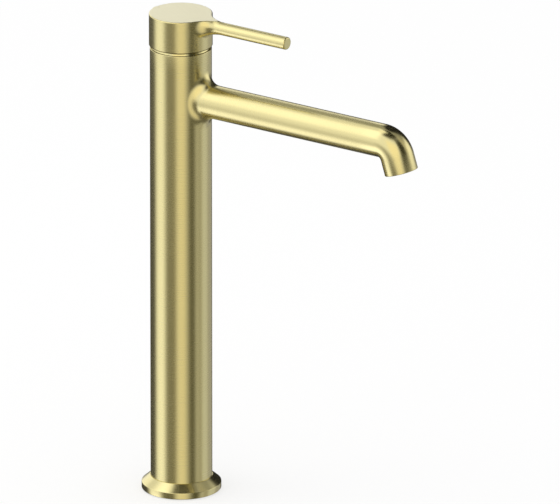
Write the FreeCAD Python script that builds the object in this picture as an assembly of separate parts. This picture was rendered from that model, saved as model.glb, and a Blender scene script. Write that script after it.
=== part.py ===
"""Tall single-lever basin mixer, each piece a separate solid, in millimetres.

The origin is the centre of the base's underside, on the deck. +Z is up and +X runs along the
spout. The user stands on the +X side, so cold water is on the right, at +Y, and hot at -Y.
The lever is drawn closed: level, and straight over the spout.
"""
import FreeCAD, Part
import math
import os

# Column and base
COLUMN_DIAMETER = 40.0
COLUMN_WALL = 2.5
COLUMN_RIM_ROUND = 0.5
FOOT_BORE_STEP = 0.8
HEAD_WALL = 3.5
BASE_FLANGE = 5.85
BASE_BAND_HEIGHT = 4.1
BASE_CONE_RISE = 4.6
BASE_CONE_LAND = 0.3
BASE_EDGE_ROUND = 0.4
BASE_LEDGE = 1.5
BASE_LEDGE_LAP = 0.05
SEAL_WIDTH = 3.0
SEAL_THICKNESS = 1.8
SEAL_INSET = 1.6

# Spout
SPOUT_HEIGHT = 268.75
SPOUT_REACH = 172.3
SPOUT_DIAMETER = 21.8
SPOUT_WALL = 2.9
SPOUT_ROOT_FILLET = 9.0
BEND_RADIUS = 12.0
BEND_ANGLE = 72.0
OUTLET_STRAIGHT = 10.6
OUTLET_WALL = 1.9
OUTLET_ROUND = 0.4
SPOUT_BORE_WALL = 1.0

# Handle
CAP_OVERHANG = 0.55
CAP_HEIGHT = 21.3
CAP_GAP = 1.8
CAP_RIM_WALL = 0.6
CAP_TOP_ROUND = 0.7
CAP_RIM_ROUND = 0.3
LEVER_DIAMETER = 8.3
LEVER_REACH = 83.6
LEVER_TOP_STEP = 0.4
LEVER_BLEND = 15.0
LEVER_BLEND_FLATNESS = 3.5
LEVER_END_ROUND = 0.9
LIFT_ANGLE = 25.0
PIVOT_BELOW_RIM = 8.0
BOSS_DIAMETER = 13.0
SCREW_DIAMETER = 5.0
SCREW_LENGTH = 12.0
SCREW_KEY = 2.5
SCREW_KEY_DEPTH = 2.5
PLUG_DIAMETER = 6.0
PLUG_LENGTH = 3.0

# Dome under the cap
DOME_INSET = 1.05
DOME_WALL = 1.4
DOME_OVERLAP = 0.8
DOME_COLLAR_LAP = 0.1
DOME_HOLE_MARGIN = 0.6

# Cartridge
NUT_SEAT = 2.5
HOUSING_WALL = 2.0
SHOULDER_WIDTH = 1.7
NECK_WALL = 1.7
NECK_HEIGHT = 6.5
NECK_ABOVE_PIN = 3.0
LIP_WIDTH = 1.6
ROTOR_PROUD = 0.5
SEAT_ABOVE_SPOUT = 3.75
BASE_PLATE_HEIGHT = 5.0
BASE_PLATE_SPIGOT = 1.0
FIXED_DISC_HEIGHT = 4.0
MOVING_DISC_HEIGHT = 3.4
CARRIER_HEIGHT = 3.5
ROTOR_FLANGE_HEIGHT = 3.6
PIN_ABOVE_FLANGE = 2.75
PIN_DIAMETER = 2.5
PIN_INSET = 0.4
SPINDLE_WIDTH = 6.0
SPINDLE_GRIP = 6.5
SPINDLE_BELOW_PIN = 3.2
ARM_LENGTH = 7.0
ARM_DIAMETER = 3.0
BALL_DIAMETER = 4.2
TONGUE_WIDTH = 8.0
TONGUE_HEIGHT = 1.5
PORT_DIAMETER = 4.0
POCKET_DIAMETER = 8.2
POCKET_DEPTH = 2.0
PORT_LAND = 0.5
PORT_ANGLE = 45.0
OUTLET_PORT_OFFSET = 2.2
PORT_SEAL_WIDTH = 0.9
PORT_SEAL_HEIGHT = 1.0
PEG_DIAMETER = 3.0
PEG_LENGTH = 2.5
PEG_CIRCLE = 9.6
PEG_ANGLE = 140.0

# Retaining nut
NUT_COLLAR_STEP = 1.1
NUT_ABOVE_COLUMN = 2.5
NUT_NOTCHES = 4
NUT_NOTCH_WIDTH = 3.0
NUT_NOTCH_DEPTH = 1.2
NUT_THREAD_RUNOUT = 2.0

# Manifold, tubes and foot
MANIFOLD_HEIGHT = 22.5
MANIFOLD_RING_SECTION = 1.6
MANIFOLD_UPPER_RING = 2.6
MANIFOLD_LOWER_RING = 17.5
OUTLET_BORE_DEPTH = 8.0
OUTLET_BORE_DIAMETER = 6.8
INLET_BORE_DIAMETER = 6.0
INLET_ROOF = 1.5
INLET_PORT_DEPTH = 3.3
TUBE_DIAMETER = 8.0
TUBE_WALL = 1.0
TUBE_FORWARD = 4.0
TUBE_SPACING = 17.0
TUBE_SOCKET = 6.0
TUBE_RING_SECTION = 1.2
TUBE_RING_SETBACK = 1.5
INSERT_HEIGHT = 16.0
INSERT_SOCKET = 4.0
HOSE_BORE_DIAMETER = 9.0
HOSE_BORE_DEPTH = 11.0
STUD_BORE_DIAMETER = 6.8
STUD_BORE_DEPTH = 12.0
STUD_BACK = 8.5

# Aerator
AERATOR_RECESS = 0.8
AERATOR_HEIGHT = 6.2
AERATOR_WALL = 1.3
AERATOR_SLOTS = 4
AERATOR_SLOT_WIDTH = 1.6
AERATOR_SLOT_DEPTH = 1.0
AERATOR_FLOOR = 1.0
CELL_WIDTH = 2.1
CELL_PITCH = 2.5
CELL_RINGS = 2
GASKET_HEIGHT = 1.0
GASKET_WIDTH = 2.0

# Clearances
FIT_CLEARANCE = 0.1
RUN_CLEARANCE = 0.1
PIN_CLEARANCE = 0.05
PIN_SEAT_CLEARANCE = 0.02
MOVING_CLEARANCE = 0.3
SLIDE_CLEARANCE = 0.2
DISC_FILM = 0.05
CUT_MARGIN = 1.0
MATCH_TOLERANCE = 0.02

# Radii worked out from the column
COLUMN_R = COLUMN_DIAMETER / 2
BORE_R = COLUMN_R - COLUMN_WALL
FOOT_BORE_R = BORE_R + FOOT_BORE_STEP
NUT_BORE_R = COLUMN_R - HEAD_WALL
CARTRIDGE_R = NUT_BORE_R - NUT_SEAT
CHAMBER_R = CARTRIDGE_R + FIT_CLEARANCE
CAVITY_R = CARTRIDGE_R - HOUSING_WALL
NECK_R = CARTRIDGE_R - SHOULDER_WIDTH
ROTOR_CAVITY_R = NECK_R - NECK_WALL
LIP_R = ROTOR_CAVITY_R - LIP_WIDTH
NUT_R = NUT_BORE_R - FIT_CLEARANCE
NUT_COLLAR_R = NUT_R - NUT_COLLAR_STEP
SPOUT_R = SPOUT_DIAMETER / 2
SPOUT_BORE_R = SPOUT_R - SPOUT_WALL
OUTLET_R = SPOUT_R - OUTLET_WALL
CAP_R = COLUMN_R + CAP_OVERHANG
LEVER_R = LEVER_DIAMETER / 2

# Heights worked out upwards from the spout
SEAT_Z = SPOUT_HEIGHT + SEAT_ABOVE_SPOUT
BASE_LEDGE_Z = SEAT_Z + BASE_PLATE_HEIGHT - BASE_PLATE_SPIGOT
FIXED_DISC_Z = SEAT_Z + BASE_PLATE_HEIGHT
MOVING_DISC_Z = FIXED_DISC_Z + FIXED_DISC_HEIGHT + DISC_FILM
CARRIER_Z = MOVING_DISC_Z + MOVING_DISC_HEIGHT
ROTOR_Z = CARRIER_Z + CARRIER_HEIGHT + SLIDE_CLEARANCE
ROTOR_FLANGE_TOP = ROTOR_Z + ROTOR_FLANGE_HEIGHT
PIVOT_Z = ROTOR_FLANGE_TOP + PIN_ABOVE_FLANGE
HOUSING_TOP = PIVOT_Z + NECK_ABOVE_PIN
SHOULDER_Z = HOUSING_TOP - NECK_HEIGHT
ROTOR_TOP = HOUSING_TOP + ROTOR_PROUD
RIM_Z = PIVOT_Z + PIVOT_BELOW_RIM
COLUMN_TOP = RIM_Z - CAP_GAP
CAP_TOP = RIM_Z + CAP_HEIGHT
LEVER_Z = CAP_TOP - LEVER_TOP_STEP - LEVER_R
MANIFOLD_Z = SEAT_Z - MANIFOLD_HEIGHT
OUTLET_BORE_Z = SEAT_Z - OUTLET_BORE_DEPTH
NUT_TOP = COLUMN_TOP + NUT_ABOVE_COLUMN

# Handle tilt: the spindle leans forward when closed and back by as much when open
REST_LEAN = LIFT_ANGLE / 2
LEAN_SIN = math.sin(math.radians(REST_LEAN))
LEAN_COS = math.cos(math.radians(REST_LEAN))
DISC_TRAVEL = 2 * ARM_LENGTH * LEAN_SIN
DISC_R = CAVITY_R - DISC_TRAVEL / 2 - MOVING_CLEARANCE
DISC_REST_X = -DISC_TRAVEL / 2

# Spherical socket of the cap and the dome inside it, both centred on the pin
RIM_INNER_R = CAP_R - CAP_RIM_WALL
SOCKET_R = math.hypot(RIM_INNER_R, PIVOT_BELOW_RIM)
DOME_FOOT = COLUMN_TOP - PIVOT_Z
DOME_R = math.hypot(COLUMN_R - DOME_INSET, DOME_FOOT)
LIFT_SIN = math.sin(math.radians(LIFT_ANGLE))
LIFT_COS = math.cos(math.radians(LIFT_ANGLE))
DOME_TOP = RIM_INNER_R * LIFT_SIN + PIVOT_BELOW_RIM * LIFT_COS + DOME_OVERLAP
BOSS_FOOT = (DOME_TOP + BOSS_DIAMETER / 2 * LEAN_SIN + MOVING_CLEARANCE) / LEAN_COS
SPINDLE_TOP = BOSS_FOOT + SPINDLE_GRIP
SCREW_LEVEL = BOSS_FOOT + SPINDLE_GRIP / 2

# Ports of the cartridge and the tubes that feed them
PORT_R = PORT_DIAMETER / 2
PORT_CIRCLE = POCKET_DIAMETER / 2 + PORT_R + PORT_LAND
PORT_X = PORT_CIRCLE * math.cos(math.radians(PORT_ANGLE))
PORT_Y = PORT_CIRCLE * math.sin(math.radians(PORT_ANGLE))
PORTS = ((PORT_X, -PORT_Y), (PORT_X, PORT_Y), (-OUTLET_PORT_OFFSET, 0.0))
HOT, COLD = -1, 1
TUBE_R = TUBE_DIAMETER / 2
TUBE_FOOT = INSERT_HEIGHT - INSERT_SOCKET
TUBE_TOP = MANIFOLD_Z + TUBE_SOCKET

# Outlet at the spout's end
DOWN_SIN = math.sin(math.radians(BEND_ANGLE))
DOWN_COS = math.cos(math.radians(BEND_ANGLE))
BEND_X = SPOUT_REACH - BEND_RADIUS * DOWN_SIN - OUTLET_STRAIGHT * DOWN_COS
OUTLET_Z = SPOUT_HEIGHT - BEND_RADIUS * (1 - DOWN_COS) - OUTLET_STRAIGHT * DOWN_SIN
AERATOR_DEPTH = AERATOR_RECESS + AERATOR_HEIGHT + GASKET_HEIGHT

X_AXIS = FreeCAD.Vector(1, 0, 0)
Y_AXIS = FreeCAD.Vector(0, 1, 0)
Z_AXIS = FreeCAD.Vector(0, 0, 1)
ORIGIN = FreeCAD.Vector(0, 0, 0)
PIVOT = FreeCAD.Vector(0, 0, PIVOT_Z)
FULL_TURN = 360.0
QUARTER_TURN = 90.0
HEXAGON_SIDES = 6
EDGE_SAMPLES = 8


def upright(radius, bottom, top, x=0.0, y=0.0):
    """Cylinder between two heights."""
    return Part.makeCylinder(radius, top - bottom, FreeCAD.Vector(x, y, bottom), Z_AXIS)


def tube(outer, inner, bottom, top, x=0.0, y=0.0):
    """Upright tube between two heights."""
    return upright(outer, bottom, top, x, y).cut(upright(inner, bottom, top, x, y))


def along_x(radius, start, end, height):
    """Level cylinder along the spout's direction."""
    return Part.makeCylinder(radius, end - start, FreeCAD.Vector(start, 0, height), X_AXIS)


def o_ring(middle, section, height, x=0.0, y=0.0):
    """Ring of round section, lying level."""
    return Part.makeTorus(middle, section / 2, FreeCAD.Vector(x, y, height), Z_AXIS)


def centred_box(length, width, bottom, top, x=0.0, y=0.0):
    """Box centred on an upright line."""
    corner = FreeCAD.Vector(x - length / 2, y - width / 2, bottom)
    return Part.makeBox(length, width, top - bottom, corner)


def revolve(edges):
    """Solid of revolution about the column's axis from a closed outline in the XZ plane."""
    face = Part.Face(Part.Wire(Part.__sortEdges__(edges)))
    return face.revolve(ORIGIN, Z_AXIS, FULL_TURN)


def outline(points):
    """Straight edges through (radius, height) points, closed."""
    corners = [FreeCAD.Vector(radius, 0, height) for radius, height in points]
    return [Part.makeLine(a, b) for a, b in zip(corners, corners[1:] + corners[:1])]


def line(start, end):
    """Straight edge between two (radius, height) points."""
    return Part.makeLine(FreeCAD.Vector(start[0], 0, start[1]), FreeCAD.Vector(end[0], 0, end[1]))


def sphere_arc(radius, low, high):
    """Arc about the pin between two heights above it."""
    points = []
    for height in (low, (low + high) / 2, high):
        reach = math.sqrt(radius ** 2 - height ** 2)
        points.append(FreeCAD.Vector(reach, 0, PIVOT_Z + height))
    return Part.Arc(*points).toShape()


def leaning(shape):
    """Turn a shape drawn upright on the pin to the spindle's closed lean."""
    shape.rotate(PIVOT, Y_AXIS, REST_LEAN)
    return shape


def at_outlet(shape):
    """Move a shape drawn upright at the origin to the outlet, with +Z going up the spout."""
    shape.rotate(ORIGIN, Y_AXIS, BEND_ANGLE - QUARTER_TURN)
    shape.translate(FreeCAD.Vector(SPOUT_REACH, 0, OUTLET_Z))
    return shape


def blend_edges(shape):
    """Edges where two crossing cylinders meet."""
    plain = ("Line", "Circle", "Ellipse")
    return [edge for edge in shape.Edges if type(edge.Curve).__name__ not in plain]


def circle_edges(shape, radius, centre):
    """Full-circle edges of a given radius about a given point."""
    found = []
    for edge in shape.Edges:
        if type(edge.Curve).__name__ != "Circle":
            continue
        near = edge.Curve.Center.distanceToPoint(centre) < MATCH_TOLERANCE
        if near and abs(edge.Curve.Radius - radius) < MATCH_TOLERANCE:
            found.append(edge)
    return found


def edges_across(shape, axis, place):
    """Edges that lie square to an axis, at a given place along it."""
    flat = []
    for edge in shape.Edges:
        places = [point.dot(axis) for point in edge.discretize(EDGE_SAMPLES)]
        if max(abs(each - place) for each in places) < MATCH_TOLERANCE:
            flat.append(edge)
    return flat


def fuse(first, *others):
    """One solid from several, with the seams between like faces taken out."""
    return first.fuse(list(others)).removeSplitter()


def spout_way(radius, start, past_outlet):
    """Solid rod along the spout: level run, bend and straight end."""
    level = along_x(radius, start, BEND_X, SPOUT_HEIGHT)
    section = Part.makeCircle(radius, FreeCAD.Vector(BEND_X, 0, SPOUT_HEIGHT), X_AXIS)
    bend_centre = FreeCAD.Vector(BEND_X, 0, SPOUT_HEIGHT - BEND_RADIUS)
    bend = Part.Face(Part.Wire(section)).revolve(bend_centre, Y_AXIS, BEND_ANGLE)
    end = at_outlet(upright(radius, -past_outlet, OUTLET_STRAIGHT))
    return level, bend, end


def tube_places():
    """Centres of the hot and cold tubes."""
    return [(TUBE_FORWARD, side * TUBE_SPACING / 2) for side in (HOT, COLD)]


def body_casting():
    """Column and bent spout in one hollow casting, with the cartridge chamber in its head."""
    level, bend, end = spout_way(SPOUT_R, 0.0, 0.0)
    column = upright(COLUMN_R, BASE_LEDGE, COLUMN_TOP)
    body = fuse(column, level)
    body = body.makeFillet(SPOUT_ROOT_FILLET, blend_edges(body))
    body = fuse(body, bend, end)
    rim = circle_edges(body, COLUMN_R, FreeCAD.Vector(0, 0, COLUMN_TOP))
    body = body.makeFillet(COLUMN_RIM_ROUND, rim)
    lip = circle_edges(body, SPOUT_R, FreeCAD.Vector(SPOUT_REACH, 0, OUTLET_Z))
    body = body.makeFillet(OUTLET_ROUND, lip)
    cuts = [
        upright(BORE_R, 0, SEAT_Z),
        upright(FOOT_BORE_R, 0, INSERT_HEIGHT),
        upright(CHAMBER_R, SEAT_Z, COLUMN_TOP),
        upright(NUT_BORE_R, SHOULDER_Z - NUT_THREAD_RUNOUT, COLUMN_TOP),
        at_outlet(upright(OUTLET_R, -CUT_MARGIN, AERATOR_DEPTH)),
        along_x(OUTLET_BORE_DIAMETER / 2, 0, BORE_R + SPOUT_BORE_WALL + CUT_MARGIN, OUTLET_BORE_Z),
    ]
    cuts.extend(spout_way(SPOUT_BORE_R, BORE_R + SPOUT_BORE_WALL, CUT_MARGIN))
    for cut in cuts:
        body = body.cut(cut)
    return body


def base_ring():
    """Flared ring that hides the deck hole, with the ledge the column stands on."""
    bore = COLUMN_R + FIT_CLEARANCE
    outer = COLUMN_R + BASE_FLANGE
    top = BASE_BAND_HEIGHT + BASE_CONE_RISE
    ring = revolve(outline([
        (FOOT_BORE_R + BASE_LEDGE_LAP, 0),
        (outer, 0),
        (outer, BASE_BAND_HEIGHT),
        (bore + BASE_CONE_LAND, top),
        (bore, top),
        (bore, BASE_LEDGE),
        (FOOT_BORE_R + BASE_LEDGE_LAP, BASE_LEDGE),
    ]))
    edges = []
    for height in (0.0, BASE_BAND_HEIGHT):
        edges.extend(circle_edges(ring, outer, FreeCAD.Vector(0, 0, height)))
    ring = ring.makeFillet(BASE_EDGE_ROUND, edges)
    inner = bore + SEAL_INSET
    return ring.cut(tube(inner + SEAL_WIDTH, inner, 0, SEAL_THICKNESS))


def deck_seal():
    """Flat rubber ring in the base's groove."""
    inner = COLUMN_R + FIT_CLEARANCE + SEAL_INSET
    return tube(inner + SEAL_WIDTH - FIT_CLEARANCE, inner + FIT_CLEARANCE, 0, SEAL_THICKNESS)


def base_insert():
    """Brass plug in the column's foot with the hose ports and the stud hole."""
    plug = upright(FOOT_BORE_R - FIT_CLEARANCE, 0, INSERT_HEIGHT)
    plug = plug.cut(upright(STUD_BORE_DIAMETER / 2, 0, STUD_BORE_DEPTH, -STUD_BACK, 0))
    for x, y in tube_places():
        plug = plug.cut(upright(HOSE_BORE_DIAMETER / 2, 0, HOSE_BORE_DEPTH, x, y))
        plug = plug.cut(upright(TUBE_R - TUBE_WALL, 0, INSERT_HEIGHT, x, y))
        plug = plug.cut(upright(TUBE_R + FIT_CLEARANCE, TUBE_FOOT, INSERT_HEIGHT, x, y))
        plug = plug.cut(tube_ring_groove(INSERT_HEIGHT - TUBE_RING_SETBACK, x, y))
    return plug


def tube_ring_groove(middle, x, y):
    """Groove for one of the tubes' sealing rings."""
    half = TUBE_RING_SECTION / 2 + FIT_CLEARANCE
    return upright(TUBE_R + TUBE_RING_SECTION + FIT_CLEARANCE, middle - half, middle + half, x, y)


def tube_o_rings():
    """Four sealing rings, one at each end of each tube."""
    rings = []
    middle = TUBE_R + TUBE_RING_SECTION / 2 + FIT_CLEARANCE / 2
    for x, y in tube_places():
        for height in (INSERT_HEIGHT - TUBE_RING_SETBACK, MANIFOLD_Z + TUBE_RING_SETBACK):
            rings.append(o_ring(middle, TUBE_RING_SECTION - FIT_CLEARANCE, height, x, y))
    return Part.makeCompound(rings)


def supply_tube(side):
    """Copper tube from the foot to the manifold."""
    y = side * TUBE_SPACING / 2
    return tube(TUBE_R, TUBE_R - TUBE_WALL, TUBE_FOOT, TUBE_TOP, TUBE_FORWARD, y)


def manifold_ring_heights():
    """Heights of the manifold's two sealing rings."""
    return SEAT_Z - MANIFOLD_UPPER_RING, SEAT_Z - MANIFOLD_LOWER_RING


def valve_manifold():
    """Block under the cartridge that brings in hot and cold and lets the mix out to the spout."""
    outer = BORE_R - FIT_CLEARANCE
    block = upright(outer, MANIFOLD_Z, SEAT_Z)
    outlet_r = OUTLET_BORE_DIAMETER / 2
    cuts = [along_x(outlet_r, -OUTLET_PORT_OFFSET, outer + CUT_MARGIN, OUTLET_BORE_Z)]
    cuts.append(upright(PORT_R, OUTLET_BORE_Z, SEAT_Z, -OUTLET_PORT_OFFSET, 0))
    for x, y in PORTS[:2]:
        cuts.append(upright(PORT_R, SEAT_Z - INLET_PORT_DEPTH, SEAT_Z, x, y))
    for x, y in tube_places():
        cuts.append(upright(INLET_BORE_DIAMETER / 2, MANIFOLD_Z, SEAT_Z - INLET_ROOF, x, y))
        cuts.append(upright(TUBE_R + FIT_CLEARANCE, MANIFOLD_Z, TUBE_TOP, x, y))
        cuts.append(tube_ring_groove(MANIFOLD_Z + TUBE_RING_SETBACK, x, y))
    for x, y in peg_places():
        hole_r = PEG_DIAMETER / 2 + FIT_CLEARANCE
        cuts.append(upright(hole_r, SEAT_Z - PEG_LENGTH - FIT_CLEARANCE, SEAT_Z, x, y))
    half = MANIFOLD_RING_SECTION / 2 + FIT_CLEARANCE
    for height in manifold_ring_heights():
        groove_r = outer - MANIFOLD_RING_SECTION
        cuts.append(tube(outer + CUT_MARGIN, groove_r, height - half, height + half))
    for cut in cuts:
        block = block.cut(cut)
    return block


def manifold_o_rings():
    """Two rings that seal the manifold in the column."""
    section = MANIFOLD_RING_SECTION - FIT_CLEARANCE
    middle = BORE_R - FIT_CLEARANCE - MANIFOLD_RING_SECTION / 2
    return Part.makeCompound([o_ring(middle, section, z) for z in manifold_ring_heights()])


def peg_places():
    """Centres of the pegs that locate the cartridge."""
    x = PEG_CIRCLE * math.cos(math.radians(PEG_ANGLE))
    y = PEG_CIRCLE * math.sin(math.radians(PEG_ANGLE))
    return (x, y), (x, -y)


def port_seal_heights():
    """Foot of the lower and of the upper port seals."""
    return SEAT_Z, FIXED_DISC_Z - PORT_SEAL_HEIGHT


def cartridge_base():
    """Lower plate of the cartridge with its ports, seal grooves and locating pegs."""
    plate = upright(CARTRIDGE_R, SEAT_Z, BASE_LEDGE_Z)
    spigot = upright(CAVITY_R - FIT_CLEARANCE, SEAT_Z, FIXED_DISC_Z)
    pegs = [upright(PEG_DIAMETER / 2, SEAT_Z - PEG_LENGTH, SEAT_Z, x, y) for x, y in peg_places()]
    base = fuse(plate, spigot, *pegs)
    for x, y in PORTS:
        base = base.cut(upright(PORT_R, SEAT_Z, FIXED_DISC_Z, x, y))
        for foot in port_seal_heights():
            groove_r = PORT_R + PORT_SEAL_WIDTH + FIT_CLEARANCE
            base = base.cut(upright(groove_r, foot, foot + PORT_SEAL_HEIGHT, x, y))
    return base


def port_seals():
    """Six rubber rings, above and below each port."""
    seals = []
    for x, y in PORTS:
        for foot in port_seal_heights():
            seals.append(tube(PORT_R + PORT_SEAL_WIDTH, PORT_R, foot, foot + PORT_SEAL_HEIGHT, x, y))
    return Part.makeCompound(seals)


def fixed_disc():
    """Lower ceramic disc with the three ports."""
    disc = upright(CAVITY_R - FIT_CLEARANCE, FIXED_DISC_Z, FIXED_DISC_Z + FIXED_DISC_HEIGHT)
    for x, y in PORTS:
        disc = disc.cut(upright(PORT_R, FIXED_DISC_Z, FIXED_DISC_Z + FIXED_DISC_HEIGHT, x, y))
    return disc


def moving_disc():
    """Upper ceramic disc: its pocket joins the inlets to the outlet as it slides forward."""
    disc = upright(DISC_R, MOVING_DISC_Z, CARRIER_Z, DISC_REST_X, 0)
    return disc.cut(upright(POCKET_DIAMETER / 2, MOVING_DISC_Z, MOVING_DISC_Z + POCKET_DEPTH))


def disc_carrier():
    """Plate on the upper disc: its tongue slides in the rotor and its socket takes the ball."""
    plate = upright(DISC_R, CARRIER_Z, CARRIER_Z + CARRIER_HEIGHT, DISC_REST_X, 0)
    room = math.sqrt((ROTOR_CAVITY_R - MOVING_CLEARANCE) ** 2 - (TONGUE_WIDTH / 2) ** 2)
    tongue_length = 2 * (room - DISC_TRAVEL / 2)
    tongue_top = CARRIER_Z + CARRIER_HEIGHT + TONGUE_HEIGHT
    tongue = centred_box(tongue_length, TONGUE_WIDTH, CARRIER_Z, tongue_top, DISC_REST_X, 0)
    socket_floor = PIVOT_Z - ARM_LENGTH - BALL_DIAMETER / 2 - MOVING_CLEARANCE
    socket_r = BALL_DIAMETER / 2 + MOVING_CLEARANCE
    return fuse(plate, tongue).cut(upright(socket_r, socket_floor, tongue_top, DISC_REST_X, 0))


def cartridge_housing():
    """Outer shell of the cartridge: shoulder for the nut and a lip that keeps the rotor down."""
    shell = fuse(
        upright(CARTRIDGE_R, BASE_LEDGE_Z, SHOULDER_Z),
        upright(NECK_R, BASE_LEDGE_Z, HOUSING_TOP),
    )
    lip_z = ROTOR_FLANGE_TOP + SLIDE_CLEARANCE
    shell = shell.cut(upright(CAVITY_R, BASE_LEDGE_Z, ROTOR_Z))
    shell = shell.cut(upright(ROTOR_CAVITY_R, BASE_LEDGE_Z, lip_z))
    return shell.cut(upright(LIP_R, BASE_LEDGE_Z, HOUSING_TOP))


def spindle_carrier():
    """Rotor that carries the pin and turns the disc carrier."""
    rotor = fuse(
        upright(ROTOR_CAVITY_R - RUN_CLEARANCE, ROTOR_Z, ROTOR_FLANGE_TOP),
        upright(LIP_R - RUN_CLEARANCE, ROTOR_Z, ROTOR_TOP),
    )
    slot_width = SPINDLE_WIDTH + 2 * MOVING_CLEARANCE
    reach = (ROTOR_TOP - PIVOT_Z) * LEAN_SIN / LEAN_COS + SPINDLE_WIDTH / 2 / LEAN_COS
    slot_length = 2 * (reach + MOVING_CLEARANCE)
    groove_top = ROTOR_Z + TONGUE_HEIGHT + SLIDE_CLEARANCE
    groove_width = TONGUE_WIDTH + 2 * MOVING_CLEARANCE
    rotor = rotor.cut(centred_box(slot_length, slot_width, ROTOR_Z, ROTOR_TOP))
    rotor = rotor.cut(centred_box(2 * CAVITY_R, groove_width, ROTOR_Z, groove_top))
    return rotor.cut(pin_rod(PIN_DIAMETER / 2 + PIN_SEAT_CLEARANCE, LIP_R))


def pin_rod(radius, half_length):
    """Level rod through the pivot, across the spout's direction."""
    start = FreeCAD.Vector(0, -half_length, PIVOT_Z)
    return Part.makeCylinder(radius, 2 * half_length, start, Y_AXIS)


def pivot_pin():
    """Steel pin that the spindle tilts on."""
    return pin_rod(PIN_DIAMETER / 2, LIP_R - RUN_CLEARANCE - PIN_INSET)


def lever_spindle():
    """Square stem on the pin, with a ball below that pushes the disc carrier."""
    stem = centred_box(SPINDLE_WIDTH, SPINDLE_WIDTH, PIVOT_Z - SPINDLE_BELOW_PIN, PIVOT_Z + SPINDLE_TOP)
    arm = upright(ARM_DIAMETER / 2, PIVOT_Z - ARM_LENGTH, PIVOT_Z)
    ball = Part.makeSphere(BALL_DIAMETER / 2, FreeCAD.Vector(0, 0, PIVOT_Z - ARM_LENGTH))
    spindle = leaning(fuse(stem, arm, ball))
    return spindle.cut(pin_rod(PIN_DIAMETER / 2 + PIN_CLEARANCE, SPINDLE_WIDTH))


def retaining_nut():
    """Ring nut that holds the cartridge down, with notches for a pin spanner."""
    nut = fuse(
        upright(NUT_R, SHOULDER_Z, COLUMN_TOP),
        upright(NUT_COLLAR_R, SHOULDER_Z, NUT_TOP),
    )
    nut = nut.cut(upright(NECK_R + FIT_CLEARANCE, SHOULDER_Z, NUT_TOP))
    notch = centred_box(2 * NUT_R, NUT_NOTCH_WIDTH, NUT_TOP - NUT_NOTCH_DEPTH, NUT_TOP, NUT_R, 0)
    for count in range(NUT_NOTCHES):
        cut = notch.copy()
        cut.rotate(ORIGIN, Z_AXIS, FULL_TURN * count / NUT_NOTCHES)
        nut = nut.cut(cut)
    return nut


def dome_collar_radius():
    """Bore of the dome's collar, just outside the nut's thread."""
    return NUT_BORE_R + DOME_COLLAR_LAP


def dome_o_ring():
    """Ring that grips the dome on the nut's collar."""
    middle = (NUT_COLLAR_R + dome_collar_radius()) / 2
    section = dome_collar_radius() - NUT_COLLAR_R - FIT_CLEARANCE
    return o_ring(middle, section, COLUMN_TOP + section / 2)


def dome_cover():
    """Thin dome centred on the pin, which the cap's socket slides round."""
    collar = dome_collar_radius()
    inner_r = DOME_R - DOME_WALL
    collar_top = math.sqrt(inner_r ** 2 - collar ** 2)
    roof = DOME_TOP - DOME_WALL
    hole = DOME_TOP * LEAN_SIN / LEAN_COS + SPINDLE_WIDTH / 2 / LEAN_COS
    hole = math.hypot(hole, SPINDLE_WIDTH / 2) + DOME_HOLE_MARGIN
    outer_top = math.sqrt(DOME_R ** 2 - DOME_TOP ** 2)
    inner_top = math.sqrt(inner_r ** 2 - roof ** 2)
    return revolve([
        line((collar, COLUMN_TOP), (COLUMN_R - DOME_INSET, COLUMN_TOP)),
        sphere_arc(DOME_R, DOME_FOOT, DOME_TOP),
        line((outer_top, PIVOT_Z + DOME_TOP), (hole, PIVOT_Z + DOME_TOP)),
        line((hole, PIVOT_Z + DOME_TOP), (hole, PIVOT_Z + roof)),
        line((hole, PIVOT_Z + roof), (inner_top, PIVOT_Z + roof)),
        sphere_arc(inner_r, collar_top, roof),
        line((collar, PIVOT_Z + collar_top), (collar, COLUMN_TOP)),
    ])


def flared_lever():
    """Lever that flares wide but flat out of a tall cap: blended with the heights stretched."""
    section = Part.Ellipse(Z_AXIS * LEVER_BLEND_FLATNESS * LEVER_R, Y_AXIS * LEVER_R, ORIGIN)
    lever = Part.Face(Part.Wire(section.toShape())).extrude(X_AXIS * LEVER_REACH)
    rim = LEVER_BLEND_FLATNESS * (RIM_Z - LEVER_Z)
    form = fuse(upright(CAP_R, rim, LEVER_BLEND_FLATNESS * CAP_HEIGHT), lever)
    form = form.makeFillet(LEVER_BLEND, blend_edges(form))
    squeeze = FreeCAD.Matrix()
    squeeze.scale(1, 1, 1 / LEVER_BLEND_FLATNESS)
    form = form.transformGeometry(squeeze)
    form.translate(Z_AXIS * LEVER_Z)
    return form


def handle_form():
    """Outside of the handle: the cap, whose flat top runs out in a beak over the lever's root."""
    waste = centred_box(2 * LEVER_REACH, 2 * LEVER_REACH, CAP_TOP, CAP_TOP + CAP_HEIGHT)
    form = flared_lever().cut(waste)
    top = [face for face in form.Faces if abs(face.CenterOfMass.z - CAP_TOP) < MATCH_TOLERANCE]
    form = form.makeFillet(CAP_TOP_ROUND, top[0].OuterWire.Edges)
    form = form.makeFillet(CAP_RIM_ROUND, edges_across(form, Z_AXIS, RIM_Z))
    return form.makeFillet(LEVER_END_ROUND, edges_across(form, X_AXIS, LEVER_REACH))


def rear_rod(radius, start, end):
    """Rod square to the spindle, out through the back of the cap."""
    begin = FreeCAD.Vector(-start, 0, PIVOT_Z + SCREW_LEVEL)
    return leaning(Part.makeCylinder(radius, end - start, begin, -X_AXIS))


def plug_start():
    """Distance from the spindle's axis to the plug's inner end."""
    return (CAP_R + SCREW_LEVEL * LEAN_SIN) / LEAN_COS - PLUG_LENGTH


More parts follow.
